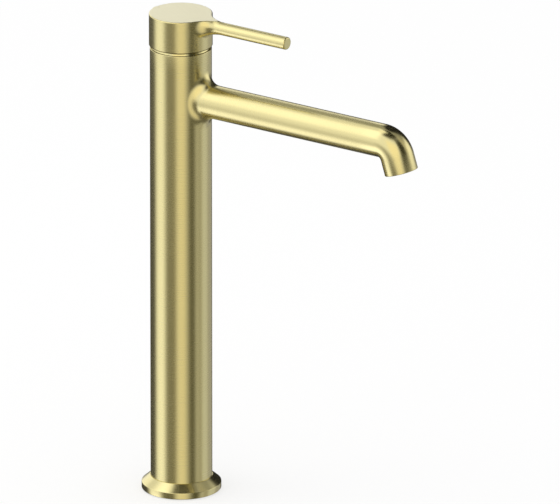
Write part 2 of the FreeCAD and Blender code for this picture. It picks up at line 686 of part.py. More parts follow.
def handle_casting():
    """Cap and pin lever in one casting, with the spherical socket and the spindle's hole."""
    handle = handle_form().cut(Part.makeSphere(SOCKET_R, PIVOT))
    boss = leaning(upright(BOSS_DIAMETER / 2, PIVOT_Z + BOSS_FOOT, PIVOT_Z + SPINDLE_TOP))
    handle = fuse(handle, boss)
    hole = SPINDLE_WIDTH + 2 * PIN_CLEARANCE
    socket_top = PIVOT_Z + SPINDLE_TOP + PIN_CLEARANCE
    handle = handle.cut(leaning(centred_box(hole, hole, PIVOT_Z, socket_top)))
    handle = handle.cut(rear_rod(SCREW_DIAMETER / 2 + PIN_CLEARANCE, 0, 2 * CAP_R))
    return handle.cut(rear_rod(PLUG_DIAMETER / 2 + PIN_CLEARANCE, plug_start(), 2 * CAP_R))


def handle_grub_screw():
    """Grub screw that holds the handle on its spindle."""
    start = SPINDLE_WIDTH / 2
    end = start + SCREW_LENGTH
    screw = rear_rod(SCREW_DIAMETER / 2, start, end)
    key = Part.makePolygon(hexagon(SCREW_KEY, PIVOT_Z + end - SCREW_KEY_DEPTH))
    key = Part.Face(key).extrude(Z_AXIS * SCREW_KEY_DEPTH)
    key.rotate(PIVOT, Y_AXIS, -QUARTER_TURN)
    key.translate(Z_AXIS * SCREW_LEVEL)
    return screw.cut(leaning(key))


def hexagon(across, height, x=0.0, y=0.0):
    """Closed corner list of a level hexagon, by its width across flats."""
    corner_r = across / math.sqrt(3)
    corners = []
    for count in range(HEXAGON_SIDES + 1):
        angle = math.radians(FULL_TURN * count / HEXAGON_SIDES)
        corner = FreeCAD.Vector(x + corner_r * math.cos(angle), y + corner_r * math.sin(angle), height)
        corners.append(corner)
    return corners


def handle_plug():
    """Cover of the screw hole, flush with the cap's side."""
    plug = rear_rod(PLUG_DIAMETER / 2, plug_start(), 2 * CAP_R)
    return plug.common(upright(CAP_R, RIM_Z, CAP_TOP))


def aerator_housing():
    """Sleeve screwed into the outlet, with slots for its key and a floor ring."""
    outer = OUTLET_R - FIT_CLEARANCE
    top = AERATOR_RECESS + AERATOR_HEIGHT
    sleeve = upright(outer, AERATOR_RECESS, top)
    sleeve = sleeve.cut(upright(outer - AERATOR_WALL, AERATOR_RECESS + AERATOR_FLOOR, top))
    sleeve = sleeve.cut(upright(outer - AERATOR_WALL - AERATOR_FLOOR, AERATOR_RECESS, top))
    slot_top = AERATOR_RECESS + AERATOR_SLOT_DEPTH
    slot = centred_box(2 * AERATOR_WALL, AERATOR_SLOT_WIDTH, AERATOR_RECESS, slot_top, outer, 0)
    for count in range(AERATOR_SLOTS):
        cut = slot.copy()
        cut.rotate(ORIGIN, Z_AXIS, FULL_TURN * count / AERATOR_SLOTS)
        sleeve = sleeve.cut(cut)
    return at_outlet(sleeve)


def cell_places():
    """Centres of the honeycomb's cells, ring by ring."""
    places = []
    for q in range(-CELL_RINGS, CELL_RINGS + 1):
        for r in range(-CELL_RINGS, CELL_RINGS + 1):
            if abs(q + r) <= CELL_RINGS:
                places.append((CELL_PITCH * math.sqrt(3) / 2 * q, CELL_PITCH * (r + q / 2)))
    return places


def aerator_insert():
    """Honeycomb that straightens the stream."""
    foot = AERATOR_RECESS + AERATOR_FLOOR
    top = AERATOR_RECESS + AERATOR_HEIGHT
    insert = upright(OUTLET_R - FIT_CLEARANCE - AERATOR_WALL - FIT_CLEARANCE, foot, top)
    cells = []
    for x, y in cell_places():
        cell = Part.Face(Part.makePolygon(hexagon(CELL_WIDTH, foot, x, y)))
        cells.append(cell.extrude(Z_AXIS * (top - foot)))
    return at_outlet(insert.cut(cells))


def aerator_gasket():
    """Rubber ring between the aerator and its seat in the spout."""
    foot = AERATOR_RECESS + AERATOR_HEIGHT
    outer = OUTLET_R - FIT_CLEARANCE
    return at_outlet(tube(outer, outer - GASKET_WIDTH, foot, foot + GASKET_HEIGHT))


NODES = {
    "body_casting": body_casting,
    "base_ring": base_ring,
    "deck_seal": deck_seal,
    "base_insert": base_insert,
    "hot_supply_tube": lambda: supply_tube(HOT),
    "cold_supply_tube": lambda: supply_tube(COLD),
    "tube_o_rings": tube_o_rings,
    "valve_manifold": valve_manifold,
    "manifold_o_rings": manifold_o_rings,
    "cartridge_base": cartridge_base,
    "port_seals": port_seals,
    "fixed_disc": fixed_disc,
    "moving_disc": moving_disc,
    "disc_carrier": disc_carrier,
    "cartridge_housing": cartridge_housing,
    "spindle_carrier": spindle_carrier,
    "pivot_pin": pivot_pin,
    "lever_spindle": lever_spindle,
    "retaining_nut": retaining_nut,
    "dome_o_ring": dome_o_ring,
    "dome_cover": dome_cover,
    "handle_casting": handle_casting,
    "handle_grub_screw": handle_grub_screw,
    "handle_plug": handle_plug,
    "aerator_housing": aerator_housing,
    "aerator_insert": aerator_insert,
    "aerator_gasket": aerator_gasket,
}


def main():
    """Build every piece and write it under its own name."""
    os.makedirs("parts", exist_ok=True)
    for name, build in NODES.items():
        shape = build()
        shape.exportStep("parts/" + name + ".step")
        print(f"{name}: {len(shape.Solids)} solid(s), {shape.Volume:.1f} mm3, valid {shape.isValid()}")


main()
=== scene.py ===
"""Looks of a tall single-lever basin mixer in brushed gold, around its packed construction model.

Lengths are in metres, in the construction model's own frame: the deck is z = 0, +Z goes up the
column and +X runs along the spout. The camera stands at the photograph's viewing angle.
"""
import logging
import math
from collections.abc import Callable, Sequence
from dataclasses import dataclass, field
from enum import Enum

import bmesh
import bpy
import numpy as np
from bpy.types import ID, Material, Mesh, Node, NodeSocket, NodeTree, Object
from mathutils import Matrix, Vector


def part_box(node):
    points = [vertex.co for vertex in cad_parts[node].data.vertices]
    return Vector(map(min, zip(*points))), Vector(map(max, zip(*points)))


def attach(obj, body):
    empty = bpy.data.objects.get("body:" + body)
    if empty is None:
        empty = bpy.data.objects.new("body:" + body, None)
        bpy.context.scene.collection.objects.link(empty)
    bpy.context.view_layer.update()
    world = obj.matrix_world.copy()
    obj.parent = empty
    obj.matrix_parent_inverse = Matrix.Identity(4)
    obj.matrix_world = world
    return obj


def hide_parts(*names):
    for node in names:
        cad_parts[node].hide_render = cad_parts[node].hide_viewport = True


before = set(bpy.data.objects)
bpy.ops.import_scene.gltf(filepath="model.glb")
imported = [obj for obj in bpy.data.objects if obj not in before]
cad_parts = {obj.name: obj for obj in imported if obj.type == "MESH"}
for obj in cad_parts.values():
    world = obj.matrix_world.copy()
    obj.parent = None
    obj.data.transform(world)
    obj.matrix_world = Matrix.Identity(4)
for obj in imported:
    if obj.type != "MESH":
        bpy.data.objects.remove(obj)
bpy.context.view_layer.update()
LOG = logging.getLogger("basin_mixer")

MM = 0.001
UP = Vector((0.0, 0.0, 1.0))
WHITE = (1.0, 1.0, 1.0, 1.0)
QUARTER_TURN = math.pi / 2
FULL_TURN = 2 * math.pi
ROOT_3 = math.sqrt(3)
# Points closer than this are one point.
WELD = 5e-6
SHARP_EDGE = math.radians(35)
ROUND_STEPS = 6
# Keeps the direction across the marks off the normal of a level face.
TILT = (0.05, 0.04, 0.0)
RUN_NAME = "brush_run"
LAY_NAME = "brush_lay"
TONE_NAME = "card_tone"

Colour = tuple[float, float, float]


class Body(Enum):
    """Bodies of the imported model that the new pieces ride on."""

    FIXED = "body"


class Slot(Enum):
    """Material slots of the record."""

    GOLD = "brushed_gold"
    BRASS = "raw_brass"
    AERATOR = "aerator_plastic"


class Lay(Enum):
    """How the marks of a finish run over a piece."""

    TURNED = "circles about the column's axis"
    CASTING = "round the column and the spout, as stored in the mesh"
    HANDLE = "round the cap, round the lever and straight over the top"


@dataclass
class Graph:
    """Lays out one node tree, a node at a time.

    Attributes:
        tree: The shader or geometry tree that is being built.
    """

    tree: NodeTree

    def feed(self, socket: NodeSocket, value: object) -> None:
        """Link an output to a socket, or set the socket's plain value.

        Args:
            socket: The input to feed.
            value: Another node's output, or a value of the input's own kind.
        """
        if isinstance(value, NodeSocket):
            self.tree.links.new(value, socket)
        else:
            socket.default_value = value

    def fill(self, sockets: Sequence[NodeSocket], feeds: dict) -> None:
        """Feed several sockets, by name or number."""
        for key, value in feeds.items():
            self.feed(sockets[key], value)

    def add(self, kind: str, feeds: dict | None = None, **settings: object) -> Node:
        """Add a node.

        Args:
            kind: The node's type name.
            feeds: What goes into its inputs, by name or number.
            settings: The node's own properties.

        Returns:
            The new node.
        """
        node = self.tree.nodes.new(kind)
        for name, value in settings.items():
            setattr(node, name, value)
        self.fill(node.inputs, feeds or {})
        return node

    def geo(self, kind: str, feeds: dict | None = None, **settings: object) -> NodeSocket:
        """First output of a new geometry node."""
        return self.add("GeometryNode" + kind, feeds, **settings).outputs[0]

    def group(self, tree: NodeTree, feeds: dict) -> Sequence[NodeSocket]:
        """Outputs of a shared effect."""
        return self.add("ShaderNodeGroup", feeds, node_tree=tree).outputs

    def spot(self) -> NodeSocket:
        """Object coordinate of the surface."""
        return self.add("ShaderNodeTexCoord").outputs["Object"]

    def stored(self, name: str, kind: str) -> NodeSocket:
        """What the mesh stores under a name, as Fac, Vector or Color."""
        return self.add("ShaderNodeAttribute", attribute_name=name).outputs[kind]

    def maths(self, operation: str, *values: object) -> NodeSocket:
        """Result of a sum on one, two or three values."""
        return self.add("ShaderNodeMath", dict(enumerate(values)), operation=operation).outputs[0]

    def vector(self, x: object = 0.0, y: object = 0.0, z: object = 0.0) -> NodeSocket:
        """Vector from three values."""
        return self.add("ShaderNodeCombineXYZ", {0: x, 1: y, 2: z}).outputs[0]

    def parts(self, vector: NodeSocket) -> Sequence[NodeSocket]:
        """The x, y and z of a vector."""
        return self.add("ShaderNodeSeparateXYZ", {0: vector}).outputs

    def noise(self, vector: NodeSocket, scale: object, detail: float = 2.0,
              rough: float = 0.5) -> NodeSocket:
        """Noise between 0 and 1."""
        feeds = {"Vector": vector, "Scale": scale, "Detail": detail, "Roughness": rough}
        return self.add("ShaderNodeTexNoise", feeds).outputs["Fac"]

    def bump(self, height: NodeSocket, depth: NodeSocket) -> NodeSocket:
        """Normal of a surface that a height between 0 and 1 raises by a depth."""
        feeds = {"Strength": 1.0, "Distance": depth, "Height": height}
        return self.add("ShaderNodeBump", feeds).outputs["Normal"]

    def ramp(self, value: object, start: float, end: float) -> NodeSocket:
        """Share from 0 to 1 that a value has gone from a start to an end, smoothly."""
        feeds = {"Value": value, "From Min": start, "From Max": end}
        return self.add("ShaderNodeMapRange", feeds, interpolation_type="SMOOTHSTEP").outputs[0]

    def mix(self, share: object, first: object, second: object) -> NodeSocket:
        """Value between two values."""
        return self.add("ShaderNodeMix", {0: share, 2: first, 3: second}, data_type="FLOAT").outputs[0]

    def mix_vector(self, share: object, first: object, second: object) -> NodeSocket:
        """Vector between two vectors."""
        return self.add("ShaderNodeMix", {0: share, 4: first, 5: second}, data_type="VECTOR").outputs[1]

    def mix_colour(self, share: object, first: object, second: object) -> NodeSocket:
        """Colour between two colours, each a plain colour or a node's output."""
        ends = [(*end, 1.0) if isinstance(end, tuple) else end for end in (first, second)]
        return self.add("ShaderNodeMix", {0: share, 6: ends[0], 7: ends[1]}, data_type="RGBA").outputs[2]

    def mix_shader(self, share: object, first: NodeSocket, second: NodeSocket) -> NodeSocket:
        """Shader between two shaders."""
        return self.add("ShaderNodeMixShader", {0: share, 1: first, 2: second}).outputs[0]

    def glow(self, colour: object) -> NodeSocket:
        """Shader that shows a colour as it is."""
        return self.add("ShaderNodeEmission", {"Color": colour, "Strength": 1.0}).outputs[0]

    def show(self, shader: NodeSocket) -> None:
        """Make a shader the material's surface."""
        self.feed(self.tree.nodes["Material Output"].inputs["Surface"], shader)

    def circle(self, sides: object, radius: object) -> NodeSocket:
        """Circle as a curve."""
        return self.geo("CurvePrimitiveCircle", {"Resolution": sides, "Radius": radius}, mode="RADIUS")

    def dressed(self, geometry: NodeSocket, material: NodeSocket) -> NodeSocket:
        """Plain geometry in its finish, with which each geometry tree ends."""
        plain = self.geo("RealizeInstances", {"Geometry": geometry})
        return self.geo("SetMaterial", {"Geometry": plain, "Material": material})


def new_tree(name: str, kind: str, inputs: dict[str, str], outputs: dict[str, str]) -> tuple:
    """Start a node group with named sockets.

    Args:
        name: The group's name.
        kind: The type name of its tree.
        inputs: Kinds of socket by name.
        outputs: Kinds of socket by name.

    Returns:
        The graph, the sockets that bring its inputs in and the sockets that take its outputs.
    """
    tree = bpy.data.node_groups.new(name, kind)
    for way, sockets in (("INPUT", inputs), ("OUTPUT", outputs)):
        for label, socket in sockets.items():
            tree.interface.new_socket(label, in_out=way, socket_type="NodeSocket" + socket)
    graph = Graph(tree)
    return graph, graph.add("NodeGroupInput").outputs, graph.add("NodeGroupOutput").inputs


def geometry_tree(name: str, inputs: dict[str, str]) -> tuple:
    """Start a geometry tree whose last input is its material."""
    return new_tree(name, "GeometryNodeTree", {**inputs, "Material": "Material"}, {"Geometry": "Geometry"})


@dataclass
class Effects:
    """Surface effects that several finishes share, each one shader node group."""

    marks: NodeTree = field(init=False)
    grain: NodeTree = field(init=False)
    clouds: NodeTree = field(init=False)

    broad_scale = 0.21
    broad_share = 0.4
    streak_ends = (0.32, 0.68)
    patch_ends = (0.3, 0.7)

    def __post_init__(self) -> None:
        """Build each group once."""
        self.marks = self.build_marks()
        self.grain = self.build_grain()
        self.clouds = self.build_clouds()

    def build_marks(self) -> NodeTree:
        """Fine parallel scratches on a stretched coordinate, in two sizes.

        Returns:
            The group.
        """
        graph, source, target = new_tree("Brush marks", "ShaderNodeTree",
                                         {"Stretched": "Vector", "Depth": "Float"},
                                         {"Streak": "Float", "Normal": "Vector"})
        fine = graph.noise(source["Stretched"], 1.0, rough=0.6)
        broad = graph.noise(source["Stretched"], self.broad_scale, detail=1.0)
        streak = graph.ramp(graph.mix(self.broad_share, fine, broad), *self.streak_ends)
        graph.fill(target, {"Streak": streak, "Normal": graph.bump(streak, source["Depth"])})
        return graph.tree

    def build_grain(self) -> NodeTree:
        """Even fine grain of a moulded surface.

        Returns:
            The group.
        """
        graph, source, target = new_tree("Moulded grain", "ShaderNodeTree",
                                         {"Vector": "Vector", "Grains per metre": "Float", "Depth": "Float"},
                                         {"Speckle": "Float", "Normal": "Vector"})
        grain = graph.noise(source["Vector"], source["Grains per metre"], detail=3.0)
        speckle = graph.ramp(grain, *self.patch_ends)
        graph.fill(target, {"Speckle": speckle, "Normal": graph.bump(speckle, source["Depth"])})
        return graph.tree

    def build_clouds(self) -> NodeTree:
        """Broad faint patches of tarnish or handling.

        Returns:
            The group.
        """
        graph, source, target = new_tree("Clouds", "ShaderNodeTree",
                                         {"Vector": "Vector", "Patches per metre": "Float"},
                                         {"Mask": "Float"})
        cloud = graph.noise(source["Vector"], source["Patches per metre"])
        graph.feed(target["Mask"], graph.ramp(cloud, *self.patch_ends))
        return graph.tree


def new_material(name: str) -> tuple[Material, Graph, Node]:
    """Start a material with a Principled shader.

    Args:
        name: The material's name.

    Returns:
        The material, its graph and the shader node.
    """
    material = bpy.data.materials.new(name)
    material.use_nodes = True
    return material, Graph(material.node_tree), material.node_tree.nodes["Principled BSDF"]


@dataclass(frozen=True)
class MarkedMetal:
    """Metal with fine marks from brushing, turning or drawing.

    Attributes:
        name: The material's name.
        light: Colour of the bright streaks.
        deep: Colour of the dull streaks and patches.
        smooth: Roughness of the bright streaks.
        dull: Roughness of the dull streaks.
        depth: Depth of the marks.
        stretch: How much wider reflections spread across the marks than along them.
        lay: How the marks run.
        along: Marks per metre along their run.
        across: Marks per metre across it.
        patches: Tarnish patches per metre.
    """

    name: str
    light: Colour
    deep: Colour
    smooth: float
    dull: float
    depth: float
    stretch: float = 0.3
    lay: Lay = Lay.TURNED
    along: float = 26.0
    across: float = 2600.0
    patches: float = 45.0

    patch_share = 0.45
    turned_pitch = 0.7
    # On the handle: where the lever's marks take over, the flat top, and the height below which the rim is
    # painted dark as shade in the gap under the cap.
    lever_start = 25.0 * MM
    lever_full = 36.0 * MM
    flat_top = 324.25 * MM
    flat_slope = math.radians(32)
    # Painted sheen: the flat top gets a paler, whiter copy of the gold that stands in for its grazing
    # reflection.
    flat_painted_sheen_light = (0.93, 0.88, 0.62)
    flat_painted_sheen_deep = (0.90, 0.85, 0.595)
    flat_dull = 0.32
    rim_shade_line = 303.6 * MM
    rim_painted_shade = (0.17, 0.14, 0.06)
    # On the casting: the crisper outer bend, by its distance up the column and along the spout.
    bend_start = 424.0 * MM
    bend_end = 430.0 * MM
    bend_blend = 12.0 * MM
    bend_dull = 0.17

    def on_top(self, graph: Graph) -> NodeSocket:
        """Mask of the handle's flat top."""
        return graph.maths("GREATER_THAN", graph.parts(graph.spot())[2], self.flat_top)

    def place(self, graph: Graph) -> tuple[NodeSocket, NodeSocket]:
        """Coordinate that the marks are drawn on, and the way that reflections spread.

        Args:
            graph: The material's graph.

        Returns:
            The stretched coordinate and the direction across the marks, in object space.
        """
        x, y, z = graph.parts(graph.spot())
        upright = (TILT[0], TILT[1], 1.0)
        if self.lay is Lay.CASTING:
            run = graph.stored(RUN_NAME, "Fac")
            spread = graph.stored(LAY_NAME, "Vector")
        elif self.lay is Lay.HANDLE:
            on_lever = graph.ramp(x, self.lever_start, self.lever_full)
            slant = graph.maths("MULTIPLY", x, math.sin(self.flat_slope))
            slant = graph.maths("MULTIPLY_ADD", y, math.cos(self.flat_slope), slant)
            run = graph.mix(self.on_top(graph), graph.mix(on_lever, z, x), slant)
            spread = graph.mix_vector(on_lever, upright, (1.0, TILT[0], TILT[1]))
        else:
            radius = graph.maths("SQRT", graph.maths("MULTIPLY_ADD", x, x, graph.maths("MULTIPLY", y, y)))
            run = graph.maths("MULTIPLY_ADD", radius, -self.turned_pitch, z)
            spread = graph.vector(*upright)
        first = graph.maths("MULTIPLY", graph.maths("ADD", x, z), self.along)
        second = graph.maths("MULTIPLY", y, self.along)
        third = graph.maths("MULTIPLY", run, self.across)
        return graph.vector(first, second, third), spread

    def material(self, effects: Effects) -> Material:
        """Build the material.

        Args:
            effects: The shared node groups.

        Returns:
            The material.
        """
        material, graph, shader = new_material(self.name)
        stretched, spread = self.place(graph)
        spot = graph.spot()
        marks = graph.group(effects.marks, {"Stretched": stretched, "Depth": self.depth})
        clouds = graph.group(effects.clouds, {"Vector": spot, "Patches per metre": self.patches})
        worn = graph.mix(self.patch_share, marks["Streak"], clouds["Mask"])
        colour = graph.mix_colour(worn, self.deep, self.light)
        rough = graph.mix(worn, self.dull, self.smooth)
        if self.lay is Lay.CASTING:
            run = graph.stored(RUN_NAME, "Fac")
            begun = graph.ramp(run, self.bend_start - self.bend_blend, self.bend_start)
            ended = graph.ramp(run, self.bend_end, self.bend_end + self.bend_blend)
            rough = graph.mix(graph.maths("SUBTRACT", begun, ended), rough, self.bend_dull)
        if self.lay is Lay.HANDLE:
            top = self.on_top(graph)
            # Painted sheen: the paler gold on the flat top stands in for its grazing reflection.
            colour = graph.mix_colour(top, colour, graph.mix_colour(worn, self.flat_painted_sheen_deep, self.flat_painted_sheen_light))
            rough = graph.mix(top, rough, self.flat_dull)
            # Painted shade: below the rim line the handle is darkened to stand in for the shadow in the gap
            # under the cap.
            rim = graph.maths("LESS_THAN", graph.parts(spot)[2], self.rim_shade_line)
            colour = graph.mix_colour(rim, colour, self.rim_painted_shade)
        tangent = graph.add("ShaderNodeVectorTransform", {0: spread}, vector_type="VECTOR",
                            convert_from="OBJECT", convert_to="WORLD").outputs[0]
        graph.fill(shader.inputs, {"Base Color": colour, "Metallic": 1.0, "Roughness": rough,
                                   "Anisotropic": self.stretch, "Tangent": tangent,
                                   "Normal": marks["Normal"]})
        return material


@dataclass(frozen=True)
class Moulded:
    """Rubber, plastic or ceramic with a fine even grain.

    Attributes:
        name: The material's name.
        light: Colour of the raised grain.
        deep: Colour between the grains.
        smooth: Roughness of the glossiest patches.
        dull: Roughness of the dullest patches.
        depth: Depth of the grain.
        grains: Grains per metre.
        patches: Patches of handling per metre.
    """

    name: str
    light: Colour
    deep: Colour
    smooth: float
    dull: float
    depth: float
    grains: float
    patches: float = 90.0

    patch_share = 0.5

    def material(self, effects: Effects) -> Material:
        """Build the material.

        Args:
            effects: The shared node groups.

        Returns:
            The material.
        """
        material, graph, shader = new_material(self.name)
        spot = graph.spot()
        grain = graph.group(effects.grain, {"Vector": spot, "Grains per metre": self.grains,
                                            "Depth": self.depth})
        clouds = graph.group(effects.clouds, {"Vector": spot, "Patches per metre": self.patches})
        worn = graph.mix(self.patch_share, grain["Speckle"], clouds["Mask"])
        graph.fill(shader.inputs, {"Base Color": graph.mix_colour(worn, self.deep, self.light),
                                   "Roughness": graph.mix(worn, self.dull, self.smooth),
                                   "Normal": grain["Normal"]})
        return material


GOLD_LIGHT = (0.815, 0.728, 0.367)
GOLD_DEEP = (0.797, 0.712, 0.359)
GOLD_SMOOTH = {Lay.TURNED: 0.20, Lay.CASTING: 0.26, Lay.HANDLE: 0.26}
GOLD_STREAK = 0.02
GOLD_STRETCH = 0.45
GOLD_DEPTH = 0.0003 * MM


def brushed_gold(lay: Lay) -> MarkedMetal:
    """The plated and brushed finish of every outer piece, with its marks laid one way.

    Args:
        lay: How the marks run.

    Returns:
        The finish.
    """
    smooth = GOLD_SMOOTH[lay]
    return MarkedMetal(f"brushed_gold_{lay.name.lower()}", GOLD_LIGHT, GOLD_DEEP, smooth,
                       smooth + GOLD_STREAK, GOLD_DEPTH, GOLD_STRETCH, lay)


MACHINED_BRASS = MarkedMetal("machined_brass", light=(0.80, 0.62, 0.28), deep=(0.62, 0.46, 0.19),
                             smooth=0.22, dull=0.42, depth=0.010 * MM)
DRAWN_COPPER = MarkedMetal("drawn_copper", light=(0.86, 0.50, 0.34), deep=(0.55, 0.29, 0.18),
                           smooth=0.24, dull=0.48, depth=0.006 * MM)
GROUND_STEEL = MarkedMetal("ground_steel", light=(0.66, 0.66, 0.66), deep=(0.50, 0.50, 0.51),
                           smooth=0.20, dull=0.36, depth=0.006 * MM)
BLACK_RUBBER = Moulded("black_rubber", light=(0.040, 0.040, 0.042), deep=(0.020, 0.020, 0.021),
                       smooth=0.55, dull=0.80, depth=0.02 * MM, grains=4500.0)
GREY_PLASTIC = Moulded("grey_plastic", light=(0.37, 0.38, 0.40), deep=(0.30, 0.31, 0.33),
                       smooth=0.38, dull=0.52, depth=0.01 * MM, grains=3200.0)
WHITE_PLASTIC = Moulded("white_plastic", light=(0.86, 0.86, 0.84), deep=(0.78, 0.78, 0.75),
                        smooth=0.30, dull=0.42, depth=0.008 * MM, grains=3200.0)
AERATOR_PLASTIC = Moulded("aerator_plastic", light=(0.66, 0.67, 0.68), deep=(0.56, 0.57, 0.59),
                          smooth=0.28, dull=0.42, depth=0.006 * MM, grains=3600.0)
LAPPED_CERAMIC = Moulded("lapped_ceramic", light=(0.93, 0.92, 0.89), deep=(0.87, 0.86, 0.83),
                         smooth=0.12, dull=0.22, depth=0.002 * MM, grains=6000.0)


@dataclass
class Palette:
    """Every finish of the mixer, made once.

    Attributes:
        effects: The node groups that the finishes share.
    """

    effects: Effects = field(default_factory=Effects)

    def __post_init__(self) -> None:
        """Build each material."""
        self.gold = {lay: brushed_gold(lay).material(self.effects) for lay in Lay}
        self.brass = MACHINED_BRASS.material(self.effects)
        self.copper = DRAWN_COPPER.material(self.effects)
        self.steel = GROUND_STEEL.material(self.effects)
        self.rubber = BLACK_RUBBER.material(self.effects)
        self.grey = GREY_PLASTIC.material(self.effects)
        self.white = WHITE_PLASTIC.material(self.effects)
        self.aerator = AERATOR_PLASTIC.material(self.effects)
        self.ceramic = LAPPED_CERAMIC.material(self.effects)


def dress(material: Material, *nodes: str) -> None:
    """Give nodes of the construction model their finish.

    Args:
        material: The finish.
        nodes: The nodes' names.
    """
    for node in nodes:
        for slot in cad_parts[node].material_slots:
            slot.material = material
        LOG.info("dressed %s in %s", node, material.name)


def link(name: str, data: ID) -> Object:
    """Put a new object into the scene.

    Args:
        name: The object's name.
        data: Its mesh, camera or lamp.

    Returns:
        The object, at the origin.
    """
    item = bpy.data.objects.new(name, data)
    bpy.context.scene.collection.objects.link(item)
    return item


def settle(name: str, mesh: Mesh, body: Body, slot: Slot, *nodes: str) -> None:
    """Put a finished mesh into the scene as a piece of the mixer.

    Args:
        name: The piece's name.
        mesh: Its mesh, in place and with its material.
        body: The body that it rides on.
        slot: The record's slot for its finish; not used.
        nodes: The nodes of the construction model that it stands for.
    """
    piece = link(name, mesh)
    mesh.name = name
    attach(piece, body.value)
    if nodes:
        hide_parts(*nodes)
    LOG.info("built %s with %d faces", name, len(mesh.polygons))


def grow(tree: NodeTree, values: dict[str, object], seed: Mesh) -> Mesh:
    """Run a geometry tree and keep its result as a plain mesh.

    Args:
        tree: The geometry tree.
        values: Its inputs, by name.
        seed: The mesh that it starts from.

    Returns:
        The grown mesh.
    """
    helper = link("seed", seed)
    modifier = helper.modifiers.new("grow", "NODES")
    modifier.node_group = tree
    for item in tree.interface.items_tree:
        if item.name in values:
            modifier[item.identifier] = values[item.name]
    depsgraph = bpy.context.evaluated_depsgraph_get()
    mesh = bpy.data.meshes.new_from_object(helper.evaluated_get(depsgraph), depsgraph=depsgraph)
    helper.modifiers.remove(modifier)
    bpy.data.objects.remove(helper)
    bpy.data.meshes.remove(seed)
    return mesh


def point_mesh(points: Sequence[Sequence[float]], joined: bool = False) -> Mesh:
    """Mesh of loose points, or of a line through them.

    Args:
        points: The points.
        joined: Whether edges run from each point to the next.

    Returns:
        The mesh.
    """
    mesh = bpy.data.meshes.new("points")
    edges = [(count, count + 1) for count in range(len(points) - 1)] if joined else []
    mesh.from_pydata(points, edges, [])
    return mesh


def points_of(mesh: Mesh) -> np.ndarray:
    """Points of a mesh by xyz."""
    return np.array([vertex.co for vertex in mesh.vertices])


def drawn(name: str, operation: Callable, **sizes: object) -> Mesh:
    """Mesh of one of bmesh's plain shapes.

    Args:
        name: The mesh's name.
        operation: The function that makes the shape.
        sizes: The shape's sizes.

    Returns:
        The mesh.
    """
    shape = bmesh.new()
    operation(shape, **sizes)
    mesh = bpy.data.meshes.new(name)
    shape.to_mesh(mesh)
    shape.free()
    return mesh


def close_up(mesh: Mesh, material: Material) -> Mesh:
    """Weld a mesh's seams, turn its faces outwards and shade it.

    Args:
        mesh: The mesh.
        material: Its finish.

    Returns:
        The same mesh.
    """
    shape = bmesh.new()
    shape.from_mesh(mesh)
    bmesh.ops.remove_doubles(shape, verts=shape.verts, dist=WELD)
    bmesh.ops.recalc_face_normals(shape, faces=shape.faces)
    open_edges = sum(not edge.is_manifold for edge in shape.edges)
    if open_edges:
        LOG.warning("%s has %d open edges", mesh.name, open_edges)
    shape.to_mesh(mesh)
    shape.free()
    mesh.shade_smooth()
    mesh.set_sharp_from_angle(angle=SHARP_EDGE)
    mesh.materials.clear()
    mesh.materials.append(material)
    return mesh


@dataclass
class Skin:
    """Patches of one closed surface, gathered and then joined.

    Attributes:
        points: Points by xyz, for each patch.
        faces: Four corners for each face, for each patch, numbered through all patches.
    """

    points: list[np.ndarray] = field(default_factory=list)
    faces: list[np.ndarray] = field(default_factory=list)

    def take(self, points: np.ndarray, faces: np.ndarray) -> None:
        """Add points, and faces numbered from the first of them."""
        self.faces.append(faces + sum(map(len, self.points)))
        self.points.append(points)

    def grid(self, points: np.ndarray, skip: np.ndarray | None = None) -> None:
        """Add rings of points as a grid of quads that closes round.

        Args:
            points: Rings by points by xyz.
            skip: Cells to leave open, rings by points.
        """
        rings, sides = points.shape[:2]
        index = np.arange(rings * sides).reshape(rings, sides)
        ahead = np.roll(index, -1, axis=1)
        quads = np.stack([index[:-1], ahead[:-1], ahead[1:], index[1:]], axis=-1)
        kept = quads.reshape(-1, 4) if skip is None else quads[~skip]
        self.take(points.reshape(-1, 3), kept)

    def tube(self, mesh: Mesh) -> None:
        """Add a mesh of quads and remove it from the file.

        Args:
            mesh: The mesh.
        """
        corners = np.array([loop.vertex_index for loop in mesh.loops])
        self.take(points_of(mesh), corners.reshape(-1, 4))
        bpy.data.meshes.remove(mesh)

    def close(self, name: str, material: Material) -> Mesh:
        """Join the patches.

        Args:
            name: The mesh's name.
            material: Its finish.

        Returns:
            The closed mesh.
        """
        mesh = bpy.data.meshes.new(name)
        mesh.from_pydata(np.concatenate(self.points).tolist(), [], np.concatenate(self.faces).tolist())
        return close_up(mesh, material)


def round_corner(centre: Sequence[float], radius: float, start: float,
                 end: float) -> list[tuple[float, float]]:
    """Arc of an outline in (radius, height), between two angles from the outward direction."""
    angles = np.linspace(start, end, ROUND_STEPS + 1)
    return [(centre[0] + radius * math.cos(a), centre[1] + radius * math.sin(a)) for a in angles]


def stepped(radii: Sequence[float], heights: Sequence[float]) -> list[tuple[float, float]]:
    """Steps of an outline in (radius, height): each radius runs from one height to the next."""
    runs = zip(radii, zip(heights, heights[1:]))
    return [(radius, height) for radius, ends in runs for height in ends]


def turned(outline: Sequence[Sequence[float]], sides: int) -> np.ndarray:
    """Rings of an outline turned about the vertical axis.

    Args:
        outline: Points in (radius, height).
        sides: Points round each ring.

    Returns:
        Rings by points by xyz.
    """
    radius, height = np.asarray(outline, dtype=float).T
    angle = np.linspace(0, FULL_TURN, sides, endpoint=False)
    x = radius[:, None] * np.cos(angle)
    y = radius[:, None] * np.sin(angle)
    return np.stack([x, y, np.broadcast_to(height[:, None], x.shape)], axis=-1)


def moved(points: np.ndarray, matrix: Matrix) -> np.ndarray:
    """Points carried by a matrix."""
    return points @ np.array(matrix.to_3x3()).T + np.array(matrix.translation)


def smooth_step(share: np.ndarray) -> np.ndarray:
    """Ease a share between 0 and 1 in and out."""
    held = np.clip(share, 0.0, 1.0)
    return held * held * (3 - 2 * held)


